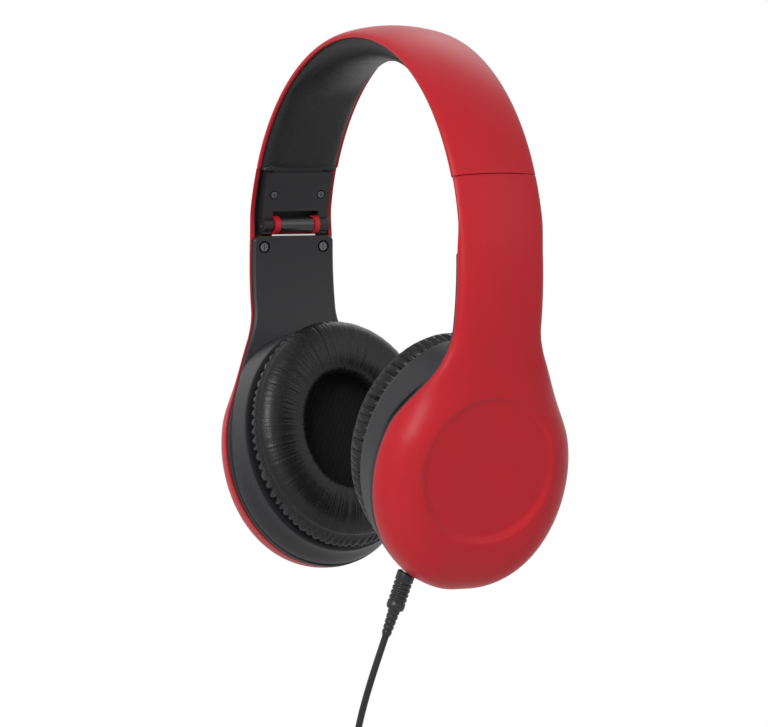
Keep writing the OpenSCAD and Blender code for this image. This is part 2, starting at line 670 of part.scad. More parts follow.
module relief_shape() {
    n = 5;
    step = relief_l / n;
    bore = cord_r + touch;
    waist = bore + 0.34;
    rotate_extrude($fn = 32) polygon(concat([[bore, 0]],
        [for (k = [0:n - 1]) let (r = waist + lerp(0.6, 0.3, k / n))
            each [[r, -k * step], [r, -(k + 0.7) * step], [waist, -(k + 0.72) * step],
                [waist, -(k + 0.98) * step]]],
        [[waist, -relief_l], [bore, -relief_l]]));
}
module plug_tip() {
    color(steel) on_side("left") on_cup() on_plug() tip_shape();
}
module plug_grip() {
    color(black) on_side("left") on_cup() on_plug() difference() {
        grip_shape();
        translate([0, 0, -1]) cylinder(r = stub_r, h = 2, $fn = 32);
    }
}
module cable_relief() {
    color(black) on_side("left") on_cup() on_plug() translate([0, 0, -grip_l - 0.02])
        relief_shape();
}

// Hanging cable, its tied hank in two wound layers, and the plug on its far end.
// The route starts inside the strain relief, runs on along the plug's axis, and swings down to
// the first loop.
route_end = [18, -25.6, -259];
swing = 52;                     // how strongly the swing keeps its directions at both ends
swing_from = plug_at(-grip_l - relief_l - 8);
swing_to = route_end + [0, 0, 5];
swing_dir = (swing_from - plug_at(0)) / norm(swing_from - plug_at(0));
route = concat([for (z = [0.4, relief_l / 2, relief_l + 1]) plug_at(-grip_l - z)],
    [for (k = [0:8]) let (t = k / 8)
        (2 * t * t * t - 3 * t * t + 1) * swing_from + (t * t * t - 2 * t * t + t) * swing * swing_dir
        + (3 * t * t - 2 * t * t * t) * swing_to + (t * t * t - t * t) * swing * [0, 0, -1]],
    [route_end]);
hank_x = 7.6;
hank_y = -25.6;
hank_top = -259;
hank_run = 15;                  // straight part of a loop
loop_pitch = 3.2;
loop_r = 7.2;                   // fold radius of the inner layer
outer_turns = 6;
inner_turns = 7;
turns = outer_turns + inner_turns;
loop_steps = concat([0.04, 0.21], [for (j = [0:9]) 0.25 + j / 36], [0.54, 0.71],
    [for (j = [0:9]) 0.75 + j / 40]);
// Point of the hank after n turns, each going down, round, up and over
function hank_at(n) =
    let (f = n - floor(n), z0 = hank_top - hank_run,
         r = loop_r + loop_pitch * (1 - ease((n - outer_turns + 0.25) / 0.25)),
         y = hank_y + loop_pitch * (n < outer_turns ? n : 2 * outer_turns - n))
    f < 0.25 ? [hank_x + r, y, hank_top - hank_run * f / 0.25]
    : f < 0.5 ? [hank_x + r * cos((f - 0.25) * 720), y, z0 - r * sin((f - 0.25) * 720)]
    : f < 0.75 ? [hank_x - r, y, z0 + hank_run * (f - 0.5) / 0.25]
    : [hank_x - r * cos((f - 0.75) * 720), y, hank_top + r * sin((f - 0.75) * 720)];
far_x = hank_x + loop_r;
far_y = hank_y - loop_pitch;
far_z = hank_top - hank_run - loop_r - loop_pitch - 12;
far_lead = 4;                   // points on the straight length below the hank
loops = [for (k = [0:turns - 1], f = loop_steps) hank_at(k + f)];
hank_points = concat([route_end], loops,
    [for (k = [0:far_lead]) [far_x, far_y, lerp(hank_top - 1, far_z - relief_l, k / far_lead)]]);

function path_length(p) = len(p) < 2 ? 0
    : [for (i = 1, s = norm(p[1] - p[0]); i < len(p); i = i + 1,
        s = s + (i < len(p) ? norm(p[i] - p[i - 1]) : 0)) s][len(p) - 2];
near_rings = 8;                 // rings along the tube that count as its own neighbours
least_gap = min([for (i = [0:3:len(loops) - 1], j = [i + near_rings:len(loops) - 1])
    norm(loops[i] - loops[j])]) - 2 * cord_r;
echo(cable_length = path_length(route) + path_length(hank_points), least_gap = least_gap);

module cable() {
    color(black) tube(route, cord_r, 8);
}
module cable_hank() {
    color(black) tube(hank_points, cord_r, 6);
}
module hank_tie() {
    half = [loop_r + loop_pitch + cord_r + touch, (outer_turns + 1) * loop_pitch / 2 + cord_r + touch];
    color(black) translate([hank_x, hank_y + (outer_turns - 1) * loop_pitch / 2,
        hank_top - hank_run / 2])
        linear_extrude(5, center = true) difference() {
            offset(1.1, $fn = 32) square(2 * half, center = true);
            square(2 * half, center = true);
        }
}
module on_far(z) {
    translate([far_x, far_y, z]) rotate([180, 0, 0]) children();
}
module far_relief() {
    color(black) on_far(far_z - relief_l) relief_shape();
}
module far_plug_grip() {
    color(black) on_far(far_z - relief_l - grip_l - 0.02) difference() {
        grip_shape();
        translate([0, 0, -1]) cylinder(r = stub_r, h = 2, $fn = 32);
    }
}
module far_plug_tip() {
    color(steel) on_far(far_z - relief_l - grip_l - 0.02) tip_shape();
}

band_shell();
head_pad();
band_spring();
for (s = ["left", "right"]) {
    guide_cover(s);
    slide_strip(s);
    hinge_block(s);
    block_screws(s);
    fold_pin(s);
    fold_barrel(s);
    fold_bracket(s);
    latch_leaf(s);
    outer_shell(s);
    inner_cover(s);
    arm_screws(s);
    cup_bowl(s);
    baffle(s);
    baffle_screws(s);
    driver_basket(s);
    magnet(s);
    diaphragm(s);
    ear_cloth(s);
    ear_cushion(s);
}
jack_socket();
plug_tip();
plug_grip();
cable_relief();
cable();
cable_hank();
hank_tie();
far_relief();
far_plug_grip();
far_plug_tip();
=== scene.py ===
import math

import bmesh
import bpy
import numpy as np
from mathutils import Matrix, Vector
from mathutils.bvhtree import BVHTree


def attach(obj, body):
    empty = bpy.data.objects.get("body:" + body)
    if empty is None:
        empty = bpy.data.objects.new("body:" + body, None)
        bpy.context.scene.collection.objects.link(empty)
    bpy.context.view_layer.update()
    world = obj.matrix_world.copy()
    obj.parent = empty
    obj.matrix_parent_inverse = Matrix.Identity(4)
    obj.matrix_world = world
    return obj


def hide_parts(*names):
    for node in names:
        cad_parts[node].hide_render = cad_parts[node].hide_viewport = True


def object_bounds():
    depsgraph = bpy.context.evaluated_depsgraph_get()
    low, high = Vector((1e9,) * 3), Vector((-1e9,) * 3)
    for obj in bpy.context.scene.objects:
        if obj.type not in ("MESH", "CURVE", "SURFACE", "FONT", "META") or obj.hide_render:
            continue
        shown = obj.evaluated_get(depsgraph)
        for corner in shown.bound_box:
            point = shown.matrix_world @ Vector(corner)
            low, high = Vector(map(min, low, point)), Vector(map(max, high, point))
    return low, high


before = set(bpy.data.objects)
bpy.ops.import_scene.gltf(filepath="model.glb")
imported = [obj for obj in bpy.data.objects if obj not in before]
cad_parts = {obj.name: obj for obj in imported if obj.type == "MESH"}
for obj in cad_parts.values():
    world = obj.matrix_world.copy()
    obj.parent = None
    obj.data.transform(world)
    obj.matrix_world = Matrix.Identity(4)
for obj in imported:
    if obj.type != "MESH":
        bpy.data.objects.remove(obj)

cad_box = [list(corner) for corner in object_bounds()]

# ---- Camera ----
# A long lens stands off to the left front of the wearer, level with the cups, and sees the
# left cup from outside and the right one from inside.
view_azimuth = 61.07
view_height = 2.59
view_roll = 0.14
view_range = 2.17
view_focus = Vector((0, 0, -0.085))
shot_width = 768
pixels_per_mm = 2.853
shift_right, shift_up = -8.3, -60.4
sensor_width = 36


def put(name, data):
    """A new object in the scene, standing at the origin."""
    made = bpy.data.objects.new(name, data)
    bpy.context.scene.collection.objects.link(made)
    return made


az, el, roll = (math.radians(v) for v in (view_azimuth, view_height, view_roll))
towards = Vector((math.sin(az) * math.cos(el), -math.cos(az) * math.cos(el), math.sin(el)))
level = Vector((math.cos(az), math.sin(az), 0))
upright = towards.cross(level)
camera = put("camera", bpy.data.cameras.new("camera"))
camera.matrix_world = Matrix.Translation(view_focus + towards * view_range) @ Matrix((
    level * math.cos(roll) + upright * math.sin(roll),
    upright * math.cos(roll) - level * math.sin(roll),
    towards)).transposed().to_4x4()
camera.data.sensor_width = sensor_width
camera.data.lens = sensor_width / shot_width * pixels_per_mm * view_range * 1000
camera.data.shift_x = shift_right / shot_width
camera.data.shift_y = shift_up / shot_width
camera.data.clip_start, camera.data.clip_end = 0.1, 20
bpy.context.scene.camera = camera
bpy.context.scene.view_settings.view_transform = "Standard"

# ---- Room ----
# A pale round sweep of floor under the lowest plug, white air around it, and three large soft
# lamps: the main one at the camera's left, a weaker one at its right, one behind for the rims.
floor_gap, floor_r = 0.002, 0.78
floor_z = cad_box[0][2] - floor_gap


def node_tree(owner):
    """Empties an owner's nodes and gives the way to add new ones, by values or by links."""
    owner.use_nodes = True
    owner.node_tree.nodes.clear()
    tree = owner.node_tree

    def add(kind, values=(), **settings):
        made = tree.nodes.new(kind)
        for key, value in settings.items():
            setattr(made, key, value)
        for key, value in dict(values).items():
            if isinstance(value, bpy.types.NodeSocket):
                tree.links.new(value, made.inputs[key])
            else:
                made.inputs[key].default_value = value
        return made
    return add


def seen_directly(add):
    """1 for rays from the camera, a reflection or a clear piece, 0 for the light itself."""
    path = add("ShaderNodeLightPath").outputs
    first = add("ShaderNodeMath", {0: path["Is Camera Ray"], 1: path["Is Glossy Ray"]},
                operation="MAXIMUM")
    return add("ShaderNodeMath", {0: first.outputs[0], 1: path["Is Transmission Ray"]},
               operation="MAXIMUM").outputs[0]


world = bpy.data.worlds.new("studio_air")
bpy.context.scene.world = world
add = node_tree(world)
white_air = add("ShaderNodeBackground", {"Color": (1, 1, 1, 1), "Strength": 1.0})
soft_air = add("ShaderNodeBackground", {"Color": (1, 1, 1, 1), "Strength": 0.34})
both = add("ShaderNodeMixShader", {0: seen_directly(add), 1: soft_air.outputs[0], 2: white_air.outputs[0]})
add("ShaderNodeOutputWorld", {"Surface": both.outputs[0]})

floor_paint = bpy.data.materials.new("floor_paint")
add = node_tree(floor_paint)
spot = add("ShaderNodeTexCoord").outputs["Object"]
reach = add("ShaderNodeVectorMath", {0: spot}, operation="LENGTH").outputs["Value"]
fade = add("ShaderNodeMapRange", {"Value": reach, "From Min": 0.2, "From Max": 0.7},
           interpolation_type="SMOOTHSTEP").outputs[0]
matt = add("ShaderNodeBsdfPrincipled", {"Base Color": (0.8, 0.8, 0.8, 1), "Roughness": 0.7})
lit = add("ShaderNodeEmission", {"Color": (1, 1, 1, 1), "Strength": 1.0})
haze = add("ShaderNodeEmission", {"Color": (1, 1, 1, 1), "Strength": 0.3})
lifted = add("ShaderNodeAddShader", {0: matt.outputs[0], 1: haze.outputs[0]})
edge = add("ShaderNodeMixShader", {0: fade, 1: lifted.outputs[0], 2: lit.outputs[0]})
both = add("ShaderNodeMixShader", {0: seen_directly(add), 1: matt.outputs[0], 2: edge.outputs[0]})
add("ShaderNodeOutputMaterial", {"Surface": both.outputs[0]})
disc = bmesh.new()
bmesh.ops.create_circle(disc, cap_ends=True, segments=96, radius=floor_r)
floor_mesh = bpy.data.meshes.new("floor")
disc.to_mesh(floor_mesh)
disc.free()
floor_mesh.materials.append(floor_paint)
floor = put("floor", floor_mesh)
floor.location = (0, 0, floor_z)

for name, turn, rise, away, size, power in [
        ("key_lamp", 36, 26, 1.5, 0.7, 17), ("fill_lamp", 118, 20, 1.9, 1.2, 4.5),
        ("rim_lamp", 222, 40, 1.7, 0.8, 3)]:
    lamp = bpy.data.lights.new(name, "AREA")
    lamp.size = size
    lamp.energy = power
    holder = put(name, lamp)
    a, e = math.radians(turn), math.radians(rise)
    aim = Vector((math.sin(a) * math.cos(e), -math.cos(a) * math.cos(e), math.sin(e)))
    holder.location = view_focus + aim * away
    holder.rotation_mode = "QUATERNION"
    holder.rotation_quaternion = (-aim).to_track_quat("-Z", "Y")

# ---- Cable ----
# A soft round cable of 2.4 mm in a satin black jacket. It leaves the strain relief of the plug
# in a long easy bend, and its spare length is folded into a tied hank below.
mm = 0.001
cord_r = 1.2
route = [[35.057, -18.439, -189.43], [34.068, -19.418, -193.552], [32.76, -20.711, -199],
         [31.17, -22.29, -205.63], [29.47, -23.55, -211.71], [27.45, -24.45, -217.68],
         [25.27, -25.05, -223.58], [23.11, -25.41, -229.47], [21.13, -25.58, -235.41],
         [19.5, -25.63, -241.44], [18.4, -25.62, -247.62], [18, -25.6, -254], [18, -25.6, -259]]
hank_x, hank_y, hank_top, hank_run = 7.6, -25.6, -259, 15
loop_pitch, loop_r = 3.2, 7.2
outer_turns, inner_turns = 6, 7
quarter = 0.25
relief_l = 9.5
tail_start, tail_drop = 1, 12
far_x, far_y = hank_x + loop_r, hank_y - loop_pitch
far_z = hank_top - hank_run - loop_r - loop_pitch - tail_drop


def ease(x):
    """From 0 to 1 with a gentle start and end."""
    x = np.clip(x, 0, 1)
    return x * x * (3 - 2 * x)


def hank_at(n):
    """Point of the hank after n turns, each a quarter down, one round, one up and one over."""
    part, bottom = n - math.floor(n), hank_top - hank_run
    r = loop_r + loop_pitch * (1 - ease((n - outer_turns + quarter) / quarter))
    y = hank_y + loop_pitch * (n if n < outer_turns else 2 * outer_turns - n)
    if part < quarter:
        return [hank_x + r, y, hank_top - hank_run * part / quarter]
    if part < 2 * quarter:
        a = math.radians((part - quarter) * 180 / quarter)
        return [hank_x + r * math.cos(a), y, bottom - r * math.sin(a)]
    if part < 3 * quarter:
        return [hank_x - r, y, bottom + hank_run * (part - 2 * quarter) / quarter]
    a = math.radians((part - 3 * quarter) * 180 / quarter)
    return [hank_x - r * math.cos(a), y, hank_top + r * math.sin(a)]


def flowing(points, between):
    """The same line with more points, on a smooth curve through the given ones."""
    p = np.array(points, float)
    p = np.vstack([2 * p[0] - p[1], p, 2 * p[-1] - p[-2]])
    out = []
    for k in range(1, len(p) - 2):
        for t in np.arange(between) / between:
            a, b, c, d = p[k - 1:k + 3]
            out.append(0.5 * (2 * b + (c - a) * t + (2 * a - 5 * b + 4 * c - d) * t ** 2
                              + (3 * b - a - 3 * c + d) * t ** 3))
    return np.array(out + [p[-2]])


def new_paint(name, laid_by="Object"):
    """A material with no nodes yet, the way to add them, and where a point lies on the piece."""
    made = bpy.data.materials.new(name)
    add = node_tree(made)
    return made, add, add("ShaderNodeTexCoord").outputs[laid_by]


def cloudy(add, at, scale, detail, rough=0.5):
    """An uneven pattern between 0 and 1."""
    return add("ShaderNodeTexNoise", {"Vector": at, "Scale": scale, "Detail": detail,
                                      "Roughness": rough}).outputs["Fac"]


def spread(add, value, low, high, start=0.0, end=1.0):
    """The stretch of a value from start to end, laid over low to high."""
    return add("ShaderNodeMapRange", {"Value": value, "From Min": start, "From Max": end,
                                      "To Min": low, "To Max": high}).outputs[0]


def raised(add, height, strength, depth, under=None):
    """A fine relief, its depth in metres, over a coarser one where that is given."""
    values = {"Height": height, "Strength": strength, "Distance": depth}
    if under is not None:
        values["Normal"] = under
    return add("ShaderNodeBump", values).outputs[0]


def shaded(add, colour, at, scale, detail, low, high):
    """A colour that gets darker and lighter in wide soft patches."""
    shade = spread(add, cloudy(add, at, scale, detail), low, high, 0.3, 0.7)
    return add("ShaderNodeVectorMath", {0: colour, "Scale": shade}, operation="SCALE").outputs[0]


def surface(add, values):
    """Ends a material in one coat with these values."""
    coat = add("ShaderNodeBsdfPrincipled", values)
    add("ShaderNodeOutputMaterial", {"Surface": coat.outputs[0]})


def moulded(name, colour, rough, grain, depth, mottle=0.06, shine=0.35, sheen=0.0):
    """Plastic with a fine grain, a cloudy gloss and slight changes of shade."""
    made, add, at = new_paint(name)
    fine = cloudy(add, at, grain, 3, 0.6)
    surface(add, {"Base Color": shaded(add, colour, at, grain / 60, 4, 1 - mottle, 1 + mottle),
                  "Roughness": spread(add, fine, rough - 0.05, rough + 0.05, 0.3, 0.7),
                  "Normal": raised(add, fine, 0.5, depth),
                  "Specular IOR Level": shine, "Sheen Weight": sheen})
    return made


jacket = moulded("satin_cable_jacket", (0.013, 0.013, 0.015), 0.42, 2600, 0.00006, shine=0.3)
turns = outer_turns + inner_turns
# Each turn is marked twice on a straight and ten times on a bend.
steps = ([0.04, 0.21] + [quarter + j / 36 for j in range(10)]
         + [0.54, 0.71] + [3 * quarter + j / 40 for j in range(10)])
tail_run = far_z - relief_l - hank_top + tail_start
tail = [[far_x, far_y, hank_top - tail_start + tail_run * k / 4] for k in range(5)]
line = flowing(route + [hank_at(k + f) for k in range(turns) for f in steps] + tail, 3) * mm
lead = bpy.data.curves.new("headphone_lead", "CURVE")
lead.dimensions = "3D"
lead.bevel_depth = cord_r * mm
lead.bevel_resolution = 5
lead.use_fill_caps = True
spline = lead.splines.new("POLY")
spline.points.add(len(line) - 1)
spline.points.foreach_set("co", np.hstack([line, np.ones((len(line), 1))]).ravel())
spline.use_smooth = True
lead.materials.append(jacket)
headphone_lead = put("headphone_lead", lead)
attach(headphone_lead, "cable_set")
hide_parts("cable", "cable_hank")

# ---- Hank tie ----
# A strap of black hook tape round the waist of the hank. Its end laps over itself and is
# pressed down; the pile gives it a dull, slightly furry face.
tie_paint = moulded("hook_tape", (0.022, 0.022, 0.024), 0.85, 5200, 0.0003, mottle=0.2, sheen=0.3)


def piece(name, points, faces, body, paint, sharp=35):
    """A smooth-shaded mesh object, given in metres, that rides on a body."""
    mesh = bpy.data.meshes.new(name)
    mesh.from_pydata([tuple(float(c) for c in p) for p in points], [], faces)
    mesh.validate()
    mesh.materials.append(paint)
    mesh.shade_smooth()
    mesh.set_sharp_from_angle(angle=math.radians(sharp))
    made = put(name, mesh)
    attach(made, body)
    return made


def sleeve_faces(rings, around, closed=False):
    """Quads between rings of points, one ring after the other."""
    faces = []
    for i in range(rings if closed else rings - 1):
        for j in range(around):
            k, l = (i + 1) % rings, (j + 1) % around
            faces.append((i * around + j, k * around + j, k * around + l, i * around + l))
    return faces


def fade(x, start, run):
    """Eases from 0 where x is at the start to 1 a run further on."""
    return ease((x - start) / run)


tie_low, tie_high, tie_fit = -268.9, -264.1, 0.05
half_x = loop_r + loop_pitch + cord_r + tie_fit
half_y = (outer_turns + 1) * loop_pitch / 2 + cord_r + tie_fit
tie_mid = [hank_x, hank_y + (outer_turns - 1) * loop_pitch / 2]
tape_t, tape_edge, tape_lip, squareness = 0.5, 0.25, 0.3, 16
tape_section = [(tie_low, tie_fit), (tie_low + tape_edge, tape_t), (tie_high - tape_edge, tape_t),
                (tie_high, tie_fit), (tie_high - tape_lip, 0.0), (tie_low + tape_lip, 0.0)]
tape_steps, steps_round, tape_start = 241, 220, 1.2
lap_from, lap_steps, lap_rise = 200, 12, 0.62
bends = []
for k in range(tape_steps):
    a = 2 * math.pi * k / steps_round - tape_start
    lap = 0.0 if k < lap_from else lap_rise * fade(k, lap_from, lap_steps)
    square = (abs(math.cos(a)) ** squareness + abs(math.sin(a)) ** squareness) ** (-1 / squareness)
    for h, out in tape_section:
        grow = out + lap
        bends.append([tie_mid[0] + (half_x + grow) * math.cos(a) * square,
                      tie_mid[1] + (half_y + grow) * math.sin(a) * square, h])
strap = piece("hook_tape_tie", np.array(bends) * mm, sleeve_faces(tape_steps, len(tape_section)),
              "cable_set", tie_paint, 50)
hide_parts("hank_tie")

# ---- Plugs ----
# Two 3.5 mm plugs, one in the left cup and one at the end of the hank. The grip is moulded over
# the metal in a firm black plastic, ribbed for the fingers, and runs out into a jointed relief.
cup_tilt, cup_x, cup_drop = 13.5, 54.5, 141
plug_h, plug_u, plug_v, plug_lean = -7.6, -15.2, -37.6, 13
grip_l, grip_r, jack_l, jack_r, plug_gap = 14, 3.2, 14, 1.75, 0.02
plug_black = moulded("moulded_plug", (0.014, 0.014, 0.016), 0.36, 3800, 0.00003)


def bare_metal(name, colour, grain, detail, rough, relief, streaks=None):
    """Metal with an uneven polish, brushed one way where streaks are given."""
    made, add, at = new_paint(name)
    if streaks:
        at = add("ShaderNodeMapping", {"Vector": at, "Scale": streaks}).outputs[0]
    swirl = cloudy(add, at, grain, detail)
    surface(add, {"Base Color": colour, "Metallic": 1.0, "Roughness": spread(add, swirl, *rough),
                  "Normal": raised(add, swirl, *relief)})
    return made


nickel = bare_metal("nickel_plate", (0.62, 0.6, 0.56, 1), 900, 5, (0.12, 0.3), (0.2, 0.00002))


def on_side(points, side):
    """Left-hand points as they are, or mirrored for the right side."""
    return np.asarray(points, float) * [1 if side == "left" else -1, 1, 1]


def in_cup(points, side):
    """From the cup's own frame (out, back, up) to the place on the headphones."""
    h, u, v = np.moveaxis(np.asarray(points, float), -1, 0)
    t = math.radians(cup_tilt)
    return on_side(np.stack([cup_x + h * math.cos(t) + v * math.sin(t), u,
                             v * math.cos(t) - cup_drop - h * math.sin(t)], -1), side)


def in_near_plug(points):
    """z runs up the plug into the cup, and 0 is the top of the grip."""
    x, y, z = np.moveaxis(np.asarray(points, float), -1, 0)
    t = math.radians(-plug_lean)
    return in_cup(np.stack([plug_h + x, plug_u + y * math.cos(t) - z * math.sin(t),
                            plug_v + y * math.sin(t) + z * math.cos(t)], -1), "left")


def in_far_plug(points):
    x, y, z = np.moveaxis(np.asarray(points, float), -1, 0)
    return np.stack([far_x + x, far_y - y, far_z - relief_l - grip_l - plug_gap - z], -1)


def turned(profile, around=72):
    """Points and faces of a profile of (radius, height) turned about its own axis."""
    a = np.arange(around) * 2 * math.pi / around
    points = np.array([[r * math.cos(t), r * math.sin(t), z] for r, z in profile for t in a])
    return points, sleeve_faces(len(profile), around)


ribs, rib_pitch, first_rib = 5, 1.7, -3.4
grip_line = [(0.0, 0.0), (grip_r - 0.55, 0.0), (grip_r - 0.3, -0.08), (grip_r - 0.1, -0.3),
             (grip_r, -0.65), (grip_r, -3.1)]
for k in range(ribs):
    top = first_rib - k * rib_pitch
    grip_line += [(grip_r - 0.06, top), (grip_r - 0.34, top - 0.22), (grip_r - 0.38, top - 0.42),
                  (grip_r - 0.34, top - 0.62), (grip_r - 0.06, top - 0.84)]
grip_line += [(grip_r, -12.4), (grip_r - 0.03, -13.0), (grip_r - 0.22, -13.5),
              (grip_r - 0.6, -13.85), (cord_r + 0.9, -grip_l), (0.0, -grip_l)]
relief_rings, relief_r, relief_end_r, relief_bore = 5, 2.12, cord_r + 0.42, cord_r + 0.02
relief_line = [(relief_bore, 0.0), (2.1, 0.0)]
for k in range(relief_rings):
    top, r = -k * relief_l / relief_rings, relief_r + (relief_end_r - relief_r) * k / relief_rings
    relief_line += [(r, top - 0.12), (r - 0.02, top - 1.2), (r - 0.12, top - 1.32),
                    (r - 0.34, top - 1.4), (r - 0.36, top - 1.74), (r - 0.2, top - 1.84)]
relief_line += [(cord_r + 0.3, -relief_l + 0.05), (relief_bore, -relief_l)]
tip_line = [(0.0, -1.0), (jack_r, -1.0), (jack_r, 3.2), (jack_r - 0.02, 3.25), (jack_r - 0.02, 4.0),
            (jack_r, 4.05), (jack_r, jack_l - 6.7), (jack_r - 0.03, jack_l - 6.6),
            (jack_r - 0.03, jack_l - 5.9), (jack_r, jack_l - 5.8), (jack_r, jack_l - 3.6),
            (jack_r * 0.9, jack_l - 3.3), (jack_r * 0.75, jack_l - 2.9),
            (jack_r * 0.78, jack_l - 2.5), (jack_r * 0.93, jack_l - 1.9),
            (jack_r * 0.9, jack_l - 1.5), (jack_r * 0.6, jack_l - 0.6),
            (jack_r * 0.28, jack_l - 0.06), (0.0, jack_l)]
for place, names in [(in_near_plug, ("plug_grip", "cable_relief", "plug_tip")),
                     (in_far_plug, ("far_plug_grip", "far_relief", "far_plug_tip"))]:
    for node, outline, drop, slot, paint in [
            (names[0], grip_line, 0, "black_plastic", plug_black),
            (names[1], relief_line, grip_l + plug_gap, "black_plastic", plug_black),
            (names[2], tip_line, 0, "plug_metal", nickel)]:
        points, faces = turned(outline)
        made = piece("turned_" + node, place(points - [0, 0, drop]) * mm, faces, "cable_set",
                     paint, 50)
        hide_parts(node)
tuple(in_near_plug([0, 0, -grip_l - relief_l]) * mm)


def dress(node, paint):
    """Gives a carried-over node its finish."""
    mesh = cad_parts[node].data
    mesh.materials.clear()
    mesh.materials.append(paint)


dress("jack_socket", plug_black)

# ---- Headband ----
# One long curved moulding in a soft-touch red plastic: an open channel with a crowned face and
# rounded lips, which the padded lining is pressed into from below.
band_r, band_half_angle, band_mid_w, band_end_w = 78, 67.8, 31, 32.6
crown_h, side_lip, wall_low, skin, pad_t, rim_w, touch = 2.3, 1, 2, 1.8, 10, 1.3, 0.03
arc_z = pad_t - band_r
edge_power = 12
soft_red = moulded("soft_touch_red", (0.45, 0.0135, 0.021), 0.4, 3400, 0.000035, mottle=0.025, shine=0.2)


def mix(a, b, t):
    return a + (b - a) * t


def band_w(a):
    return mix(band_mid_w, band_end_w, ease(abs(a) / band_half_angle))


def band_at(a, u, r):
    """Point of the band at angle a from its middle, u across it, r from the arc's centre."""
    return [r * math.sin(math.radians(a)), u, arc_z + r * math.cos(math.radians(a))]


def face_h(s, side, dome, m, e):
    """Height of a crowned face above its rim, s from -1 at one edge to 1 at the other."""
    return side * math.sqrt(max(0, 1 - abs(s) ** edge_power)) + dome * (1 - abs(s) ** m) ** e


def skin_between(outer, inner):
    """Closed skin between two grids of points, joined along all four rims."""
    rows, cols = len(outer), len(outer[0])
    n = rows * cols
    points = np.vstack([np.array(outer).reshape(n, 3), np.array(inner).reshape(n, 3)])
    faces = []
    for i in range(rows - 1):
        for j in range(cols - 1):
            a, b, c, d = i * cols + j, i * cols + j + 1, (i + 1) * cols + j + 1, (i + 1) * cols + j
            faces += [(a, b, c, d), (n + d, n + c, n + b, n + a)]
        for j, flip in ((0, True), (cols - 1, False)):
            a, d = i * cols + j, (i + 1) * cols + j
            faces.append((a, d, n + d, n + a) if flip else (d, a, n + a, n + d))
    for j in range(cols - 1):
        a, c = j, (rows - 1) * cols + j
        faces += [(a + 1, a, n + a, n + a + 1), (c, c + 1, n + c + 1, n + c)]
    return points, faces


def settle(made, sharp):
    """Applies a piece's modifiers and shades it smooth, but for edges sharper than the angle."""
    bpy.context.view_layer.update()
    graph = bpy.context.evaluated_depsgraph_get()
    solid = bpy.data.meshes.new_from_object(made.evaluated_get(graph))
    made.modifiers.clear()
    made.data = solid
    solid.shade_smooth()
    solid.set_sharp_from_angle(angle=math.radians(sharp))


def rounded_rims(made, width):
    """A small moulded radius on every sharp edge."""
    bevel = made.modifiers.new("rims", "BEVEL")
    bevel.width = width * mm
    bevel.segments = 2
    bevel.limit_method = "ANGLE"
    bevel.angle_limit = math.radians(48)
    settle(made, 55)


across = [math.sin(math.radians(v)) for v in np.linspace(-90, 90, 61)]
along = np.linspace(-band_half_angle, band_half_angle, 181)
rim_r = band_r - side_lip
thin = 1 - skin / (side_lip + crown_h)


def channel_at(a, half, s, part):
    """Point of the channel's face, or of the lower edge of a side wall where s is beyond 1."""
    if abs(s) > 1:
        return band_at(a, math.copysign(half, s), band_r - wall_low)
    return band_at(a, s * half, rim_r + part * face_h(s, side_lip, crown_h, 2, 1))


outer = [[channel_at(a, band_w(a) / 2, s, 1) for s in [-2] + across + [2]] for a in along]
inner = [[channel_at(a, band_w(a) / 2 - rim_w, s, thin) for s in [-2] + across + [2]] for a in along]
points, faces = skin_between(outer, inner)
band = piece("red_headband", points * mm, faces, "band", soft_red, 60)
rounded_rims(band, 0.3)
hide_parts("band_shell")

# ---- Lining of the headband ----
# A strip of foam in black leatherette, thick over the crown of the head and thin where it runs on
# over the end channels. Its edges are tucked behind the lips of the red channel.
liner_d, pad_half_angle = 4.7, 46
pad_edge_d, pad_thinning, pad_swell = 0.8, 1.6, 0.7
end_d, end_dive, dive_from, dive_run, joining = 4.75, 1.15, 65, 2.5, 2.5
crown_power, flat_power, flat_from, flat_run = 2.6, 6, 40, 8


def leatherette(name, colour, rough, pore, crease):
    """Coated cloth with a pebbled grain, fine creases and a soft, uneven gloss."""
    made, add, at = new_paint(name)
    bent = add("ShaderNodeTexNoise", {"Vector": at, "Scale": 500.0, "Detail": 2.0}).outputs["Color"]
    moved = add("ShaderNodeVectorMath", {0: bent, 1: (0.0006, 0.0006, 0.0006), 2: at},
                operation="MULTIPLY_ADD").outputs[0]
    cell = add("ShaderNodeTexVoronoi", {"Vector": moved, "Scale": pore},
               feature="DISTANCE_TO_EDGE").outputs[0]
    pebble = add("ShaderNodeMapRange", {"Value": cell, "From Max": 0.35},
                 interpolation_type="SMOOTHSTEP").outputs[0]
    folds = raised(add, cloudy(add, moved, crease, 5, 0.62), 0.3, 0.0003)
    surface(add, {"Base Color": shaded(add, colour, at, 55, 3, 0.82, 1.2),
                  "Roughness": spread(add, pebble, rough + 0.12, rough),
                  "Normal": raised(add, pebble, 0.4, 0.00006, folds),
                  "Specular IOR Level": 0.26})
    return made


def bare_mesh(name, points, faces):
    """A plain mesh object, given in metres, that only helps to shape a piece."""
    mesh = bpy.data.meshes.new(name)
    mesh.from_pydata([tuple(float(c) for c in p) for p in points], [], faces)
    return put(name, mesh)


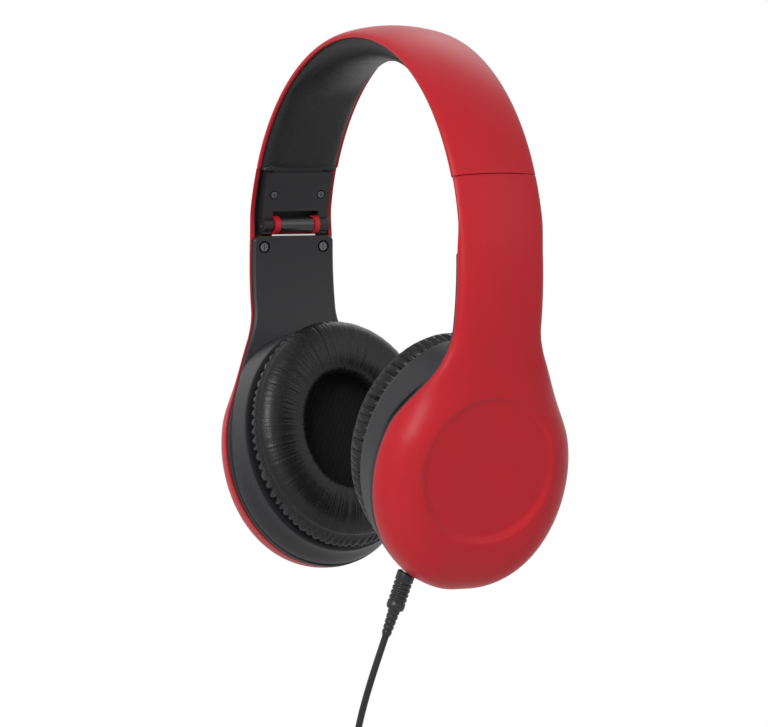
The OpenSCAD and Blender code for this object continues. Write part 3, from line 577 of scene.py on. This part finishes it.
def puffed(points, faces, voxel, limit, push):
    """The closed form as a foam core swells it: remeshed, blown up by cloth, held near its shape."""
    core = bare_mesh("core", points, faces)
    remesh = core.modifiers.new("remesh", "REMESH")
    remesh.mode = "VOXEL"
    remesh.voxel_size = voxel
    graph = bpy.context.evaluated_depsgraph_get()
    core.data = bpy.data.meshes.new_from_object(core.evaluated_get(graph))
    core.modifiers.clear()
    start = np.zeros(len(core.data.vertices) * 3)
    core.data.vertices.foreach_get("co", start)
    start = start.reshape(-1, 3)
    ended = start.copy()
    cloth = core.modifiers.new("swell", "CLOTH")
    cloth.settings.use_pressure = True
    cloth.settings.uniform_pressure_force = push
    cloth.settings.effector_weights.gravity = 0
    cloth.settings.quality = 5
    for number in range(1, 21):
        bpy.context.scene.frame_set(number)
    blown = core.evaluated_get(bpy.context.evaluated_depsgraph_get()).data
    blown.vertices.foreach_get("co", ended.reshape(-1))
    bpy.context.scene.frame_set(1)
    move = ended - start
    far = np.linalg.norm(move, axis=1, keepdims=True)
    ended = start + move * np.minimum(1, limit / np.maximum(far, 1e-9))
    core.modifiers.clear()
    core.data.vertices.foreach_set("co", ended.ravel())
    net = bmesh.new()
    net.from_mesh(core.data)
    bmesh.ops.smooth_vert(net, verts=net.verts, factor=0.5, use_axis_x=True, use_axis_y=True,
                          use_axis_z=True)
    tree = BVHTree.FromBMesh(net)
    net.free()
    bpy.data.objects.remove(core)
    return tree


pad_leather = leatherette("lining_leatherette", (0.01, 0.01, 0.011), 0.42, 1500, 300)
end_gap = 0.3
core_rows = np.linspace(-pad_half_angle, pad_half_angle, 121)
end_rows = np.linspace(pad_half_angle + end_gap, band_half_angle - end_gap, 32)
pad_rows = np.concatenate([-end_rows[::-1], core_rows, end_rows])
pad_cols = [math.sin(math.radians(v)) for v in np.linspace(-90, 90, 33)]
pad_rest, channel_d, flange_share, flange_d, least_t = 0.02, 4.02, 0.9, 0.1, 0.12


def pad_deep(a):
    """Depth of the lining below the band's face: a thick middle, then a thin end that dives in."""
    middle = math.cos(math.radians(90 * min(1, abs(a) / pad_half_angle)))
    swell = mix(liner_d - pad_thinning, pad_t, max(0, middle) ** pad_swell)
    level_end = end_d - end_dive * fade(abs(a), dive_from, dive_run)
    return math.log(math.exp(joining * swell) + math.exp(joining * level_end)) / joining


def pad_under(a, s, shrink=0.0):
    """Radius of the lining's face, crowned across the band and flatter towards its ends."""
    deep = pad_deep(a) - shrink
    square = mix(crown_power, flat_power, fade(abs(a), flat_from, flat_run))
    crown = (deep - side_lip - pad_edge_d) * math.sqrt(max(0, 1 - abs(s) ** square))
    return band_r - side_lip - pad_edge_d - crown


def pad_back(a, s):
    """Radius of the foam's back, which lies on the end channels beyond the thick middle."""
    if abs(a) <= pad_half_angle:
        return band_r - side_lip - pad_rest
    if abs(s) > flange_share:
        return band_r - side_lip - flange_d
    return max(band_r - channel_d, pad_under(a, s) + least_t)


def lining_half(a):
    return band_w(a) / 2 - rim_w - touch


def lining_rows(angles, radius_at):
    return [[band_at(a, s * lining_half(a), radius_at(a, s)) for s in pad_cols] for a in angles]


core_shrink, core_voxel, core_limit, foam_push = 0.7, 0.0022, 0.0012, 4.0
points, faces = skin_between(lining_rows(core_rows, pad_back),
                             lining_rows(core_rows, lambda a, s: pad_under(a, s, core_shrink)))
foam = puffed(points * mm, faces, core_voxel, core_limit, foam_push)
probe_r, probe_reach = band_r - side_lip - 0.62, 0.012
least_swell, most_swell, edge_share, swell_fade = -0.35, 0.9, 0.97, 6
low = []
for a in pad_rows:
    row = []
    away = Vector(band_at(a, 0, 1)) - Vector(band_at(a, 0, 2))
    for s in pad_cols:
        plain = pad_under(a, s)
        start = Vector(band_at(a, s * lining_half(a), probe_r)) * mm
        hit = foam.ray_cast(start, away, probe_reach) if abs(a) < pad_half_angle else (None,)
        if hit[0] is not None and abs(s) < edge_share:
            felt = probe_r - (hit[0] - start).length / mm
            swell = mix(min(max(felt, plain + least_swell), plain + most_swell), plain, abs(s) ** 8)
            plain = mix(plain, swell, ease((pad_half_angle - abs(a)) / swell_fade))
        row.append(plain)
    low.append(row)
low = np.array(low)
for _ in range(3):
    low[1:-1, 1:-1] = 0.25 * (low[:-2, 1:-1] + low[2:, 1:-1] + low[1:-1, :-2] + low[1:-1, 2:])
low = [[band_at(a, s * lining_half(a), r) for s, r in zip(pad_cols, row)]
       for a, row in zip(pad_rows, low)]
points, faces = skin_between(lining_rows(pad_rows, pad_back), low)
lining = piece("crown_lining", points * mm, faces, "band", pad_leather, 60)
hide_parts("head_pad")

# ---- End channels and the spring ----
# A black moulded channel under each thin end of the lining guides the size strip, and a flat
# steel spring lies hidden between pad and shell and gives the band its grip.
matt_black = moulded("grained_black", (0.013, 0.013, 0.015), 0.44, 4200, 0.00008, mottle=0.08,
                     shine=0.3)
spring_steel = bare_metal("brushed_spring_steel", (0.55, 0.56, 0.57, 1), 1, 4, (0.22, 0.42),
                          (0.3, 0.00003), streaks=(300, 6000, 300))
dress("band_spring", spring_steel)
channel_cols = [-1, -0.985, -0.97, -0.945, -0.92, -0.9] + list(np.linspace(-0.85, 0.85, 21))
channel_cols += [0.9, 0.92, 0.945, 0.97, 0.985, 1]
wall_share, channel_roof, channel_face, channel_rim = 0.91, 3.3, 3.88, 3.4
narrow_share, narrow_from, narrow_run = 0.86, 66.6, 0.8
sides = ("left", "right")
for side in sides:
    sign = 1 if side == "left" else -1
    ends = [sign * v for v in np.linspace(pad_half_angle + 0.4, band_half_angle - 0.05, 41)]
    width = [lining_half(a) * mix(narrow_share, 1, fade(abs(a), narrow_from, narrow_run))
             for a in ends]
    back = [[band_at(a, s * w, band_r - (side_lip + 0.05 if abs(s) > wall_share else channel_roof))
             for s in channel_cols] for a, w in zip(ends, width)]
    face = [[band_at(a, s * w, band_r - mix(channel_face, channel_rim,
                                            fade(abs(s), 0.93, 0.07) ** 2))
             for s in channel_cols] for a, w in zip(ends, width)]
    points, faces = skin_between(back[::sign], face[::sign])
    guide = piece(side + "_lining_end", points * mm, faces, "band", matt_black, 40)
    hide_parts(side + "_guide_cover")

# ---- Size strips ----
# A flat strip of spring steel slides in each end of the band, with click holes along its edges.
for side in sides:
    dress(side + "_slide_strip", spring_steel)

# ---- Hinge blocks ----
# Black moulded blocks on the ends of the strips, each held by two small cross-head screws, with
# a window for the lugs of the folding arm.
# The screws are dark steel. Their colour is also darkened as painted shade, standing in for the shade
# inside the recesses they sit in.
screw_steel = bare_metal("screw_steel_dark_for_recess_shade", (0.11, 0.11, 0.115, 1), 1500, 4, (0.25, 0.5),
                         (0.3, 0.00003))
for side in sides:
    dress(side + "_hinge_block", matt_black)
    dress(side + "_block_screws", screw_steel)

# ---- Fold pins, barrels, brackets and leaves ----
# The arm folds on a steel pin through two red lugs; a turned black barrel keeps them apart, and a
# bright leaf along the foot of the window snaps the arm straight.
barrel_black = moulded("polished_black", (0.014, 0.014, 0.015), 0.17, 1800, 0.00001, shine=0.5)
for side in sides:
    dress(side + "_fold_pin", nickel)
    dress(side + "_fold_barrel", barrel_black)
    dress(side + "_fold_bracket", soft_red)
    dress(side + "_latch_leaf", nickel)

# ---- Outer shells ----
# Each cup's back and its arm are one teardrop moulding in the red plastic: a crowned arm that
# widens into a domed oval with a round dish, sunk with a soft edge and left plain.
arm_r, block_low_angle, fold_gap = 120, 3.6, 0.3
cup_a, cup_b, arm_low_w = 37.2, 41.5, 33.8
dome_h, dome_m, dome_e, dome_side = 14.5, 4.5, 0.5, 1.5
dish_r, dish_d, dish_up, dish_edge, dish_soft = 25.6, 1.9, 5, 3, 0.55
wall_d, rim_inset, neck_q, swell_q = 2.5, 1.6, 54, 20
lip_from, lip_run, rim_from, rim_run, crown_from, crown_spare = 2, 12, 18, 24, 12, 10
low_t, tilt_t = math.radians(block_low_angle), math.radians(cup_tilt)
bow_x = -(arm_r - band_r) * math.cos(low_t)
bow_z = arc_z - (arm_r - band_r) * math.sin(low_t)
bow_end = (bow_x + arm_r * math.cos(tilt_t), bow_z - arm_r * math.sin(tilt_t))
flat_h = (bow_end[0] - cup_x) * math.cos(tilt_t) - (bow_end[1] + cup_drop) * math.sin(tilt_t)
flat_q = (bow_end[0] - cup_x) * math.sin(tilt_t) + (bow_end[1] + cup_drop) * math.cos(tilt_t)
bow_q = flat_q + arm_r * (tilt_t + low_t)
top_q = bow_q + band_r * (math.radians(90 - band_half_angle) - low_t) - fold_gap


def arm_at(q, u, d):
    """Point at developed height q of the arm, u across it, d out along its normal."""
    if q <= flat_q:
        t = -tilt_t
        x = cup_x + flat_h * math.cos(t) + q * math.sin(tilt_t)
        z = flat_h * math.sin(t) - cup_drop + q * math.cos(tilt_t)
    elif q <= bow_q:
        t = (q - flat_q) / arm_r - tilt_t
        x, z = bow_x + arm_r * math.cos(t), bow_z + arm_r * math.sin(t)
    else:
        t = low_t + (q - bow_q) / band_r
        x, z = band_r * math.cos(t), arc_z + band_r * math.sin(t)
    return [x + d * math.cos(t), u, z + d * math.sin(t)]


swell_w = cup_a * math.sqrt(1 - (swell_q / cup_b) ** 2)
swell_slope = -((cup_a / cup_b) ** 2) * swell_q / swell_w


def cup_w(q, inset=0.0):
    """Half-width of the teardrop at height q."""
    if q < 0:
        return (cup_a - inset) * math.sqrt(max(0, 1 - (q / (cup_b - inset)) ** 2))
    if q <= swell_q:
        return cup_a * math.sqrt(1 - (q / cup_b) ** 2) - inset
    if q <= neck_q:
        t, run = (q - swell_q) / (neck_q - swell_q), neck_q - swell_q
        return ((2 * t ** 3 - 3 * t * t + 1) * swell_w + (t ** 3 - 2 * t * t + t) * swell_slope * run
                + (3 * t * t - 2 * t ** 3) * arm_low_w / 2 - (t ** 3 - t * t)) - inset
    return mix(arm_low_w / 2, band_end_w / 2, (q - neck_q) / (top_q - neck_q)) - inset


def rim_d(q):
    """Depth of the shell's rim, measured from the arm's edge line."""
    if q >= flat_q:
        return -mix(wall_d, side_lip, ease((q - bow_q + lip_from) / lip_run))
    return mix(-flat_h, -wall_d, fade(q, rim_from, rim_run))


def outer_h(q, s):
    """Height of the shell's face above its rim at share s of the width, and at the middle."""
    swell = max(0, 1 - (abs(q) / cup_b) ** dome_m) ** dome_e if q < 0 else 1
    blend = fade(q, crown_from, flat_q - crown_spare)
    wall = swell * mix(dome_side, -rim_d(max(q, flat_q)), blend)
    if q < 0:
        crown = swell * (dome_h - dome_side)
    else:
        crown = mix(dome_h - flat_h, crown_h, blend) - rim_d(q) - wall
    return face_h(s, wall, crown, mix(dome_m, 2, blend), mix(dome_e, 1, blend)), wall + crown


def under_h(high, full):
    """Height of the skin's inner face below a point of the outer one."""
    return max(0.1, 1 - skin / max(full, 0.1)) * high


def dished(q, u, d):
    """The same height with the round dish sunk into it, its edge eased by a small radius."""
    r = math.hypot(u, q - dish_up)
    rise = max(0, (r - dish_r + 2) / dish_edge)
    bed = dome_h - dish_d - flat_h + (dish_d + 1) * rise * rise
    if abs(d - bed) > 4 * dish_soft:
        return min(d, bed)
    if q > flat_q:
        return d
    return -dish_soft * math.log(math.exp(-d / dish_soft) + math.exp(-bed / dish_soft))


def mirrored(faces, side, as_made="left"):
    """The faces as they are, or turned round for the mirror image of the piece."""
    return faces if side == as_made else [f[::-1] for f in faces]


shell_cols = [math.sin(math.radians(v)) for v in np.linspace(-90, 90, 121)]
low_rows = [math.sin(math.radians(v)) for v in np.linspace(-89.4, -1.5, 75)]
high_rows = list(np.linspace(0, bow_q, 150)) + list(np.linspace(bow_q, top_q, 24))[1:]
outer, inner = [], []
ceiling = dome_h - flat_h - dish_d - skin
for q in [cup_b * v for v in low_rows] + high_rows:
    outer.append([])
    inner.append([])
    q_in = q * (cup_b - rim_inset) / cup_b if q < 0 else q
    for s in shell_cols:
        high, full = outer_h(q, s)
        u = s * cup_w(q)
        outer[-1].append(arm_at(q, u, dished(q, u, rim_d(q) + high)))
        under = min(ceiling - rim_d(q), under_h(high, full))
        inner[-1].append(arm_at(q_in, s * cup_w(q_in, rim_inset), rim_d(q) + under))
points, faces = skin_between(outer, inner)
for side in sides:
    shell = piece(side + "_teardrop_shell", on_side(points, side) * mm, mirrored(faces, side),
                  side + "_cup", soft_red, 60)
    rounded_rims(shell, 0.22)
    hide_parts(side + "_outer_shell")

# ---- Sleeves of the arms ----
# Where the hinge block lies in the arm, a thin black sleeve lines the red shell, so that only the
# shell's rim shows red beside the block. It is stuck to the shell and folds with it.
sleeve_rows = np.linspace(bow_q - fold_gap, top_q - 0.2, 40)
sleeve_out, sleeve_in, sleeve_rise = 0.02, 0.14, 0.1
lined = []
for inset in (sleeve_out, sleeve_in):
    lined.append([])
    for q in sleeve_rows:
        lined[-1].append([])
        for s in shell_cols:
            under = rim_d(q) + sleeve_rise + under_h(*outer_h(q, s))
            lined[-1][-1].append(arm_at(q, s * cup_w(q, rim_inset + inset), under - inset))
points, faces = skin_between(*lined)
for side in sides:
    piece(side + "_arm_sleeve", on_side(points, side) * mm, mirrored(faces, side), side + "_cup",
          matt_black, 60)

# ---- Inner covers ----
# A flat black moulding closes the inner side of each arm and the back of its cup, fixed near the
# hinge by two screws in round counterbores.
cover_t, cover_inset, cover_lip, cover_turn = 2.2, 0.5, 0.5, 2
cover_top_q = bow_q - fold_gap
arm_screw_q, arm_screw_u, seat_d = bow_q - 4.4, 12, 1.1


def cover_w(q):
    """Half-width of the cover, drawn in where its upper corners are rounded."""
    corner = max(0, (q - cover_top_q + cover_turn) / cover_turn)
    q = q * (cup_b - cover_inset) / cup_b if q < 0 else q
    return cup_w(q, cover_inset) - cover_turn * corner ** 2


def cut_away(made, points, faces):
    """Cuts a closed form out of a piece."""
    tool = bare_mesh("cutter", points, faces)
    net = bmesh.new()
    net.from_mesh(tool.data)
    bmesh.ops.recalc_face_normals(net, faces=net.faces)
    net.to_mesh(tool.data)
    net.free()
    cut = made.modifiers.new("cut", "BOOLEAN")
    cut.operation = "DIFFERENCE"
    cut.object = tool
    settle(made, 35)
    bpy.data.objects.remove(tool)


cols = [-1, -0.985, -0.96, -0.92] + list(np.linspace(-0.88, 0.88, 31)) + [0.92, 0.96, 0.985, 1]
rows = ([cup_b * math.sin(math.radians(v)) for v in np.linspace(-88.5, -2, 50)]
        + list(np.linspace(0, cover_top_q - cover_turn - 0.2, 90))
        + list(np.linspace(cover_top_q - cover_turn, cover_top_q, 9)))
back = [[arm_at(q, s * cover_w(q), rim_d(q) - touch) for s in cols] for q in rows]
face = [[arm_at(q, s * cover_w(q),
                rim_d(q) - cover_t + cover_lip * fade(abs(s), 0.95, 0.05) ** 2)
         for s in cols] for q in rows]
points, faces = skin_between(back, face)
bore = [(0.0, -1.0), (1.1, -1.0), (1.1, 0.0), (2.25, 0.0), (2.3, 6.0), (0.0, 6.0)]
for side in sides:
    cover = piece(side + "_arm_lining", on_side(points, side) * mm, mirrored(faces, side),
                  side + "_cup", matt_black, 35)
    for s in (-1, 1):
        ring, hole = turned(bore, 40)
        seat = np.array([arm_at(arm_screw_q, s * arm_screw_u + y, seat_d - wall_d - cover_t - z)
                         for x, y, z in ring])
        lift = np.subtract(arm_at(arm_screw_q + 1, 0, 0), arm_at(arm_screw_q, 0, 0))
        cut_away(cover, on_side(seat + ring[:, :1] * lift, side) * mm, hole)
    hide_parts(side + "_inner_cover")
    dress(side + "_arm_screws", screw_steel)

# ---- Cup bowls ----
# A black bowl on the inner side of each cover carries the speaker and the cushion. It flares out
# below to the red rim, so that its side shows as a smooth dark band beside the cushion.
ring_depth, ring_wall, ring_a, ring_b, ring_up = 11, 2, 35.6, 41, 3.2
bowl_top = -cover_t - touch
bowl_low = bowl_top - ring_depth
bowl_floor, floor_hole_r, bowl_steps = 1.6, 0.5, 200
flare_inset, flare_top, flare_run = 0.5, 0.45, 0.9
bowl_line = ([(-ring_wall, bowl_low), (-0.35, bowl_low), (-0.1, bowl_low + 0.1)]
             + [(0, v) for v in np.linspace(bowl_low + 0.4, bowl_top - 0.5, 9)]
             + [(-0.1, bowl_top - 0.2), (-0.4, bowl_top), (-ring_a + floor_hole_r, bowl_top),
                (-ring_a + floor_hole_r, bowl_top - bowl_floor),
                (-ring_wall - 0.4, bowl_top - bowl_floor), (-ring_wall, bowl_top - 2.0)])


def bowl_at(o, h, t):
    """Point of the bowl's wall, which flares out below and rises above to meet the rim of the shell."""
    near = fade(h, bowl_low, ring_depth) if o > -1 else 0
    flare = fade(-math.sin(t), -flare_top, flare_run) * near
    a = mix(ring_a, cup_a - flare_inset, flare) + o
    b = mix(ring_b, cup_b - flare_inset, flare) + o
    q = b * math.sin(t) + mix(ring_up, 0, flare)
    return [h + near * max(0, rim_d(q) + flat_h) * (q > 0), a * math.cos(t), q]


wall = [bowl_at(o, h, 2 * math.pi * k / bowl_steps) for k in range(bowl_steps) for o, h in bowl_line]
wall_faces = [(a, d, c, b) for a, b, c, d in sleeve_faces(bowl_steps, len(bowl_line), True)]
socket_r = grip_r + touch
for side in sides:
    bowl = piece(side + "_speaker_bowl", in_cup(wall, side) * mm, mirrored(wall_faces, side),
                 side + "_cup", matt_black, 35)
    if side == "left":
        ring, hole = turned([(0.0, -3.0), (socket_r, -3.0), (socket_r, 13.0), (0.0, 13.0)], 48)
        cut_away(bowl, in_near_plug(ring) * mm, hole)
    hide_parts(side + "_cup_bowl")

# ---- Speakers ----
# A grained plate with five screws closes each bowl and holds the speaker: a black basket, a
# ferrite magnet behind it and a pale film cone in front.
ferrite = moulded("ferrite", (0.05, 0.05, 0.052), 0.6, 3000, 0.0001, mottle=0.15)
film, add, at = new_paint("clear_film")
ripple = cloudy(add, at, 700, 3)
surface(add, {"Base Color": (0.42, 0.44, 0.45, 1), "Roughness": spread(add, ripple, 0.15, 0.35),
              "Normal": raised(add, ripple, 0.4, 0.0001), "Coat Weight": 0.4})
for side in sides:
    dress(side + "_baffle", matt_black)
    dress(side + "_baffle_screws", screw_steel)
    dress(side + "_driver_basket", matt_black)
    dress(side + "_magnet", ferrite)
    dress(side + "_diaphragm", film)

# ---- Ear cloth ----
# A thin black knit with small ribs is stretched over the plate inside each cushion, drawn in a
# little in the middle where nothing is behind it.
cushion_up, cushion_a, cushion_b = 5, 36, 40
knit, add, at = new_paint("ribbed_knit", "UV")
slant = add("ShaderNodeMapping", {"Vector": at, "Rotation": (0, 0, math.radians(28))}).outputs[0]
ribbing = add("ShaderNodeTexWave", {"Vector": slant, "Scale": 190.0, "Distortion": 0.6,
                                    "Detail": 1.0}, wave_type="BANDS", bands_direction="X")
picks = add("ShaderNodeTexWave", {"Vector": slant, "Scale": 330.0, "Distortion": 0.4},
            wave_type="BANDS", bands_direction="Y")
weave = add("ShaderNodeMath", {0: ribbing.outputs["Fac"], 1: picks.outputs["Fac"]},
            operation="MULTIPLY").outputs[0]
pile = add("ShaderNodeMath", {0: weave, 1: cloudy(add, at, 2500, 4)}, operation="ADD").outputs[0]
tone = spread(add, pile, 0.002, 0.012)
tint = add("ShaderNodeCombineColor", {0: tone, 1: tone, 2: tone}).outputs[0]
surface(add, {"Base Color": tint, "Roughness": 0.9, "Normal": raised(add, pile, 0.5, 0.00015),
              "Specular IOR Level": 0.08, "Sheen Weight": 0.03})
hem = 15.3
cloth_a, cloth_b = cushion_a - hem, cushion_b - hem
net_rows, net_cols = 25, 96
cloth_gap, cloth_dip, cloth_ripple, dip_share = 0.85, 0.12, 0.02, 0.8
net, flat = [[bowl_low - 0.95, 0, cushion_up]], [(0, 0)]
for i in range(1, net_rows):
    f = i / (net_rows - 1)
    for j in range(net_cols):
        t = 2 * math.pi * j / net_cols
        sag = cloth_dip * math.cos(math.pi * f / 2) + cloth_ripple * math.sin(5 * t) * f
        u, v = cloth_a * f * math.cos(t), cloth_b * f * math.sin(t)
        net.append([bowl_low - cloth_gap - sag * dip_share, u, cushion_up + v])
        flat.append((u * mm, v * mm))
faces = [(0, 1 + (j + 1) % net_cols, 1 + j) for j in range(net_cols)]
faces += [tuple(1 + v for v in (a, d, c, b)) for a, b, c, d in sleeve_faces(net_rows - 1, net_cols)]
for side in sides:
    cover = piece(side + "_ear_knit", in_cup(net, side) * mm, faces, side + "_cup", knit, 80)
    plan = cover.data.uv_layers.new(name="plan")
    for loop in cover.data.loops:
        plan.data[loop.index].uv = flat[loop.vertex_index]
    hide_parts(side + "_ear_cloth")

# ---- Ear cushions ----
# An oval ring of foam in soft black leatherette, sewn to a skirt that is gathered behind the
# ring in fine pleats; the inner wall is drawn to the plate and creases where it turns.
cushion_leather = leatherette("cushion_leatherette", (0.006, 0.006, 0.0065), 0.27, 1400, 150)
section = np.array([(-0.5, -0.9), (-1.1, -0.02), (-3, -0.02), (-14.5, -0.02), (-16, -2.4),
                    (-18.9, -4), (-20.2, -6.4), (-20.5, -9), (-19.5, -11.6), (-16.9, -13.3),
                    (-13.5, -14), (-9.5, -13.8), (-4.6, -12.8), (-2, -11), (-0.4, -8.6),
                    (0.2, -6), (0, -3.6), (-0.4, -2)])
core_mid, core_share = np.array([-9.8, -7.2]), 0.96
slim = core_mid + (section - core_mid) * core_share
mid_o, mid_h = core_mid
ring_steps, ring_voxel, ring_limit = 90, 0.0025, 0.0022
foot_h = bowl_low - touch
points = [[foot_h + h, (cushion_a + o) * math.cos(t), (cushion_b + o) * math.sin(t) + cushion_up]
          for t in np.arange(ring_steps) * 2 * math.pi / ring_steps for o, h in slim]
swollen = puffed(np.array(points) * mm, sleeve_faces(ring_steps, len(slim), True), ring_voxel,
                 ring_limit, foam_push)
fine_round, fine_section, pleats = 960, 60, 80
plain_r = 7.0
felt = np.zeros((fine_round, fine_section))
for i in range(fine_round):
    t = 2 * math.pi * i / fine_round
    mid = Vector((foot_h + mid_h, (cushion_a + mid_o) * math.cos(t),
                  (cushion_b + mid_o) * math.sin(t) + cushion_up)) * mm
    for j in range(fine_section):
        p = 2 * math.pi * j / fine_section
        ray = Vector((math.sin(p), math.cos(p) * math.cos(t), math.cos(p) * math.sin(t)))
        hit = swollen.ray_cast(mid, ray, 0.03)
        felt[i, j] = (hit[0] - mid).length / mm if hit[0] is not None else plain_r
for _ in range(2):
    for axis in (0, 1):
        felt = 0.5 * felt + 0.25 * (np.roll(felt, 1, axis) + np.roll(felt, -1, axis))
pleat_d, pleat_lean, seam_d, seam_h, seam_w = 2.0, 1.3, 0.6, -0.9, 0.45
inner_fold_d, fine_crease_d, slack_d = 0.3, 0.11, 0.12


def skirt_pleats(rng):
    """Depth of the gathers round the skirt, each of its own width and depth."""
    gather = np.cumsum(rng.uniform(0.6, 1.4, pleats))
    gather = gather / gather[-1]
    depth = rng.uniform(0.4, 1.0, pleats)
    at = np.arange(fine_round + 1) / fine_round
    fold = np.minimum(np.searchsorted(gather, at, side="right"), pleats - 1)
    start = np.concatenate([[0], gather])[fold]
    bulge = np.clip(np.sin(np.pi * (at - start) / (gather[fold] - start)), 0, 1) ** 0.6
    return (1 - bulge) * depth[fold]


for side in sides:
    rng = np.random.default_rng(11 if side == "left" else 23)
    pleated = skirt_pleats(rng)
    waves = rng.uniform(-1, 1, (9, 3))
    ring = []
    for i in range(fine_round):
        t = 2 * math.pi * i / fine_round
        slack = sum(w[0] * math.sin((n + 2) * t * 4 + 3 * w[1]) for n, w in enumerate(waves)) / 4
        inner_fold = (0.5 + 0.5 * math.sin(64 * t + 4 * slack)) * (0.6 + 0.4 * slack)
        crease = (math.sin(73 * t + 5 * slack) * math.sin(11 * t + 3 * slack + 1)
                  + 0.5 * math.sin(131 * t + 7 * slack))
        for j in range(fine_section):
            p = 2 * math.pi * j / fine_section
            r = felt[i, j]
            o, h = r * math.cos(p), r * math.sin(p)
            lean = (i + pleat_lean * h) % fine_round
            pleat = mix(pleated[int(lean)], pleated[int(lean) + 1], lean % 1)
            behind = fade(h, -0.4, 1.6) * fade(o, -1, 4)
            seam = math.exp(-((h - seam_h) / seam_w) ** 2) * fade(o, 4, 3)
            inside = fade(-o, 3.5, 4) * fade(h, -6, 4)
            top = fade(-h, 0.5, 2.5) * (0.35 + 0.65 * fade(-abs(o + 1), -3, 6))
            r -= pleat_d * pleat * behind
            r -= seam_d * seam
            r -= inner_fold_d * inside * inner_fold
            r -= fine_crease_d * (1 + crease) * top
            r += slack_d * slack * fade(-h, 1, 4)
            h = min(r * math.sin(p), -mid_h - 0.02)
            low_end = fade(h, -1, 6) * fade(o, -2, 5)
            a = mix(cushion_a, ring_a, low_end) + mid_o + r * math.cos(p)
            b = mix(cushion_b, ring_b, low_end) + mid_o + r * math.cos(p)
            ring.append([foot_h + mid_h + h, a * math.cos(t),
                         b * math.sin(t) + mix(cushion_up, ring_up, low_end)])
    cushion = piece(side + "_leather_cushion", in_cup(ring, side) * mm,
                    mirrored(sleeve_faces(fine_round, fine_section, True), side, "right"),
                    side + "_cup", cushion_leather, 80)
    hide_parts(side + "_ear_cushion")
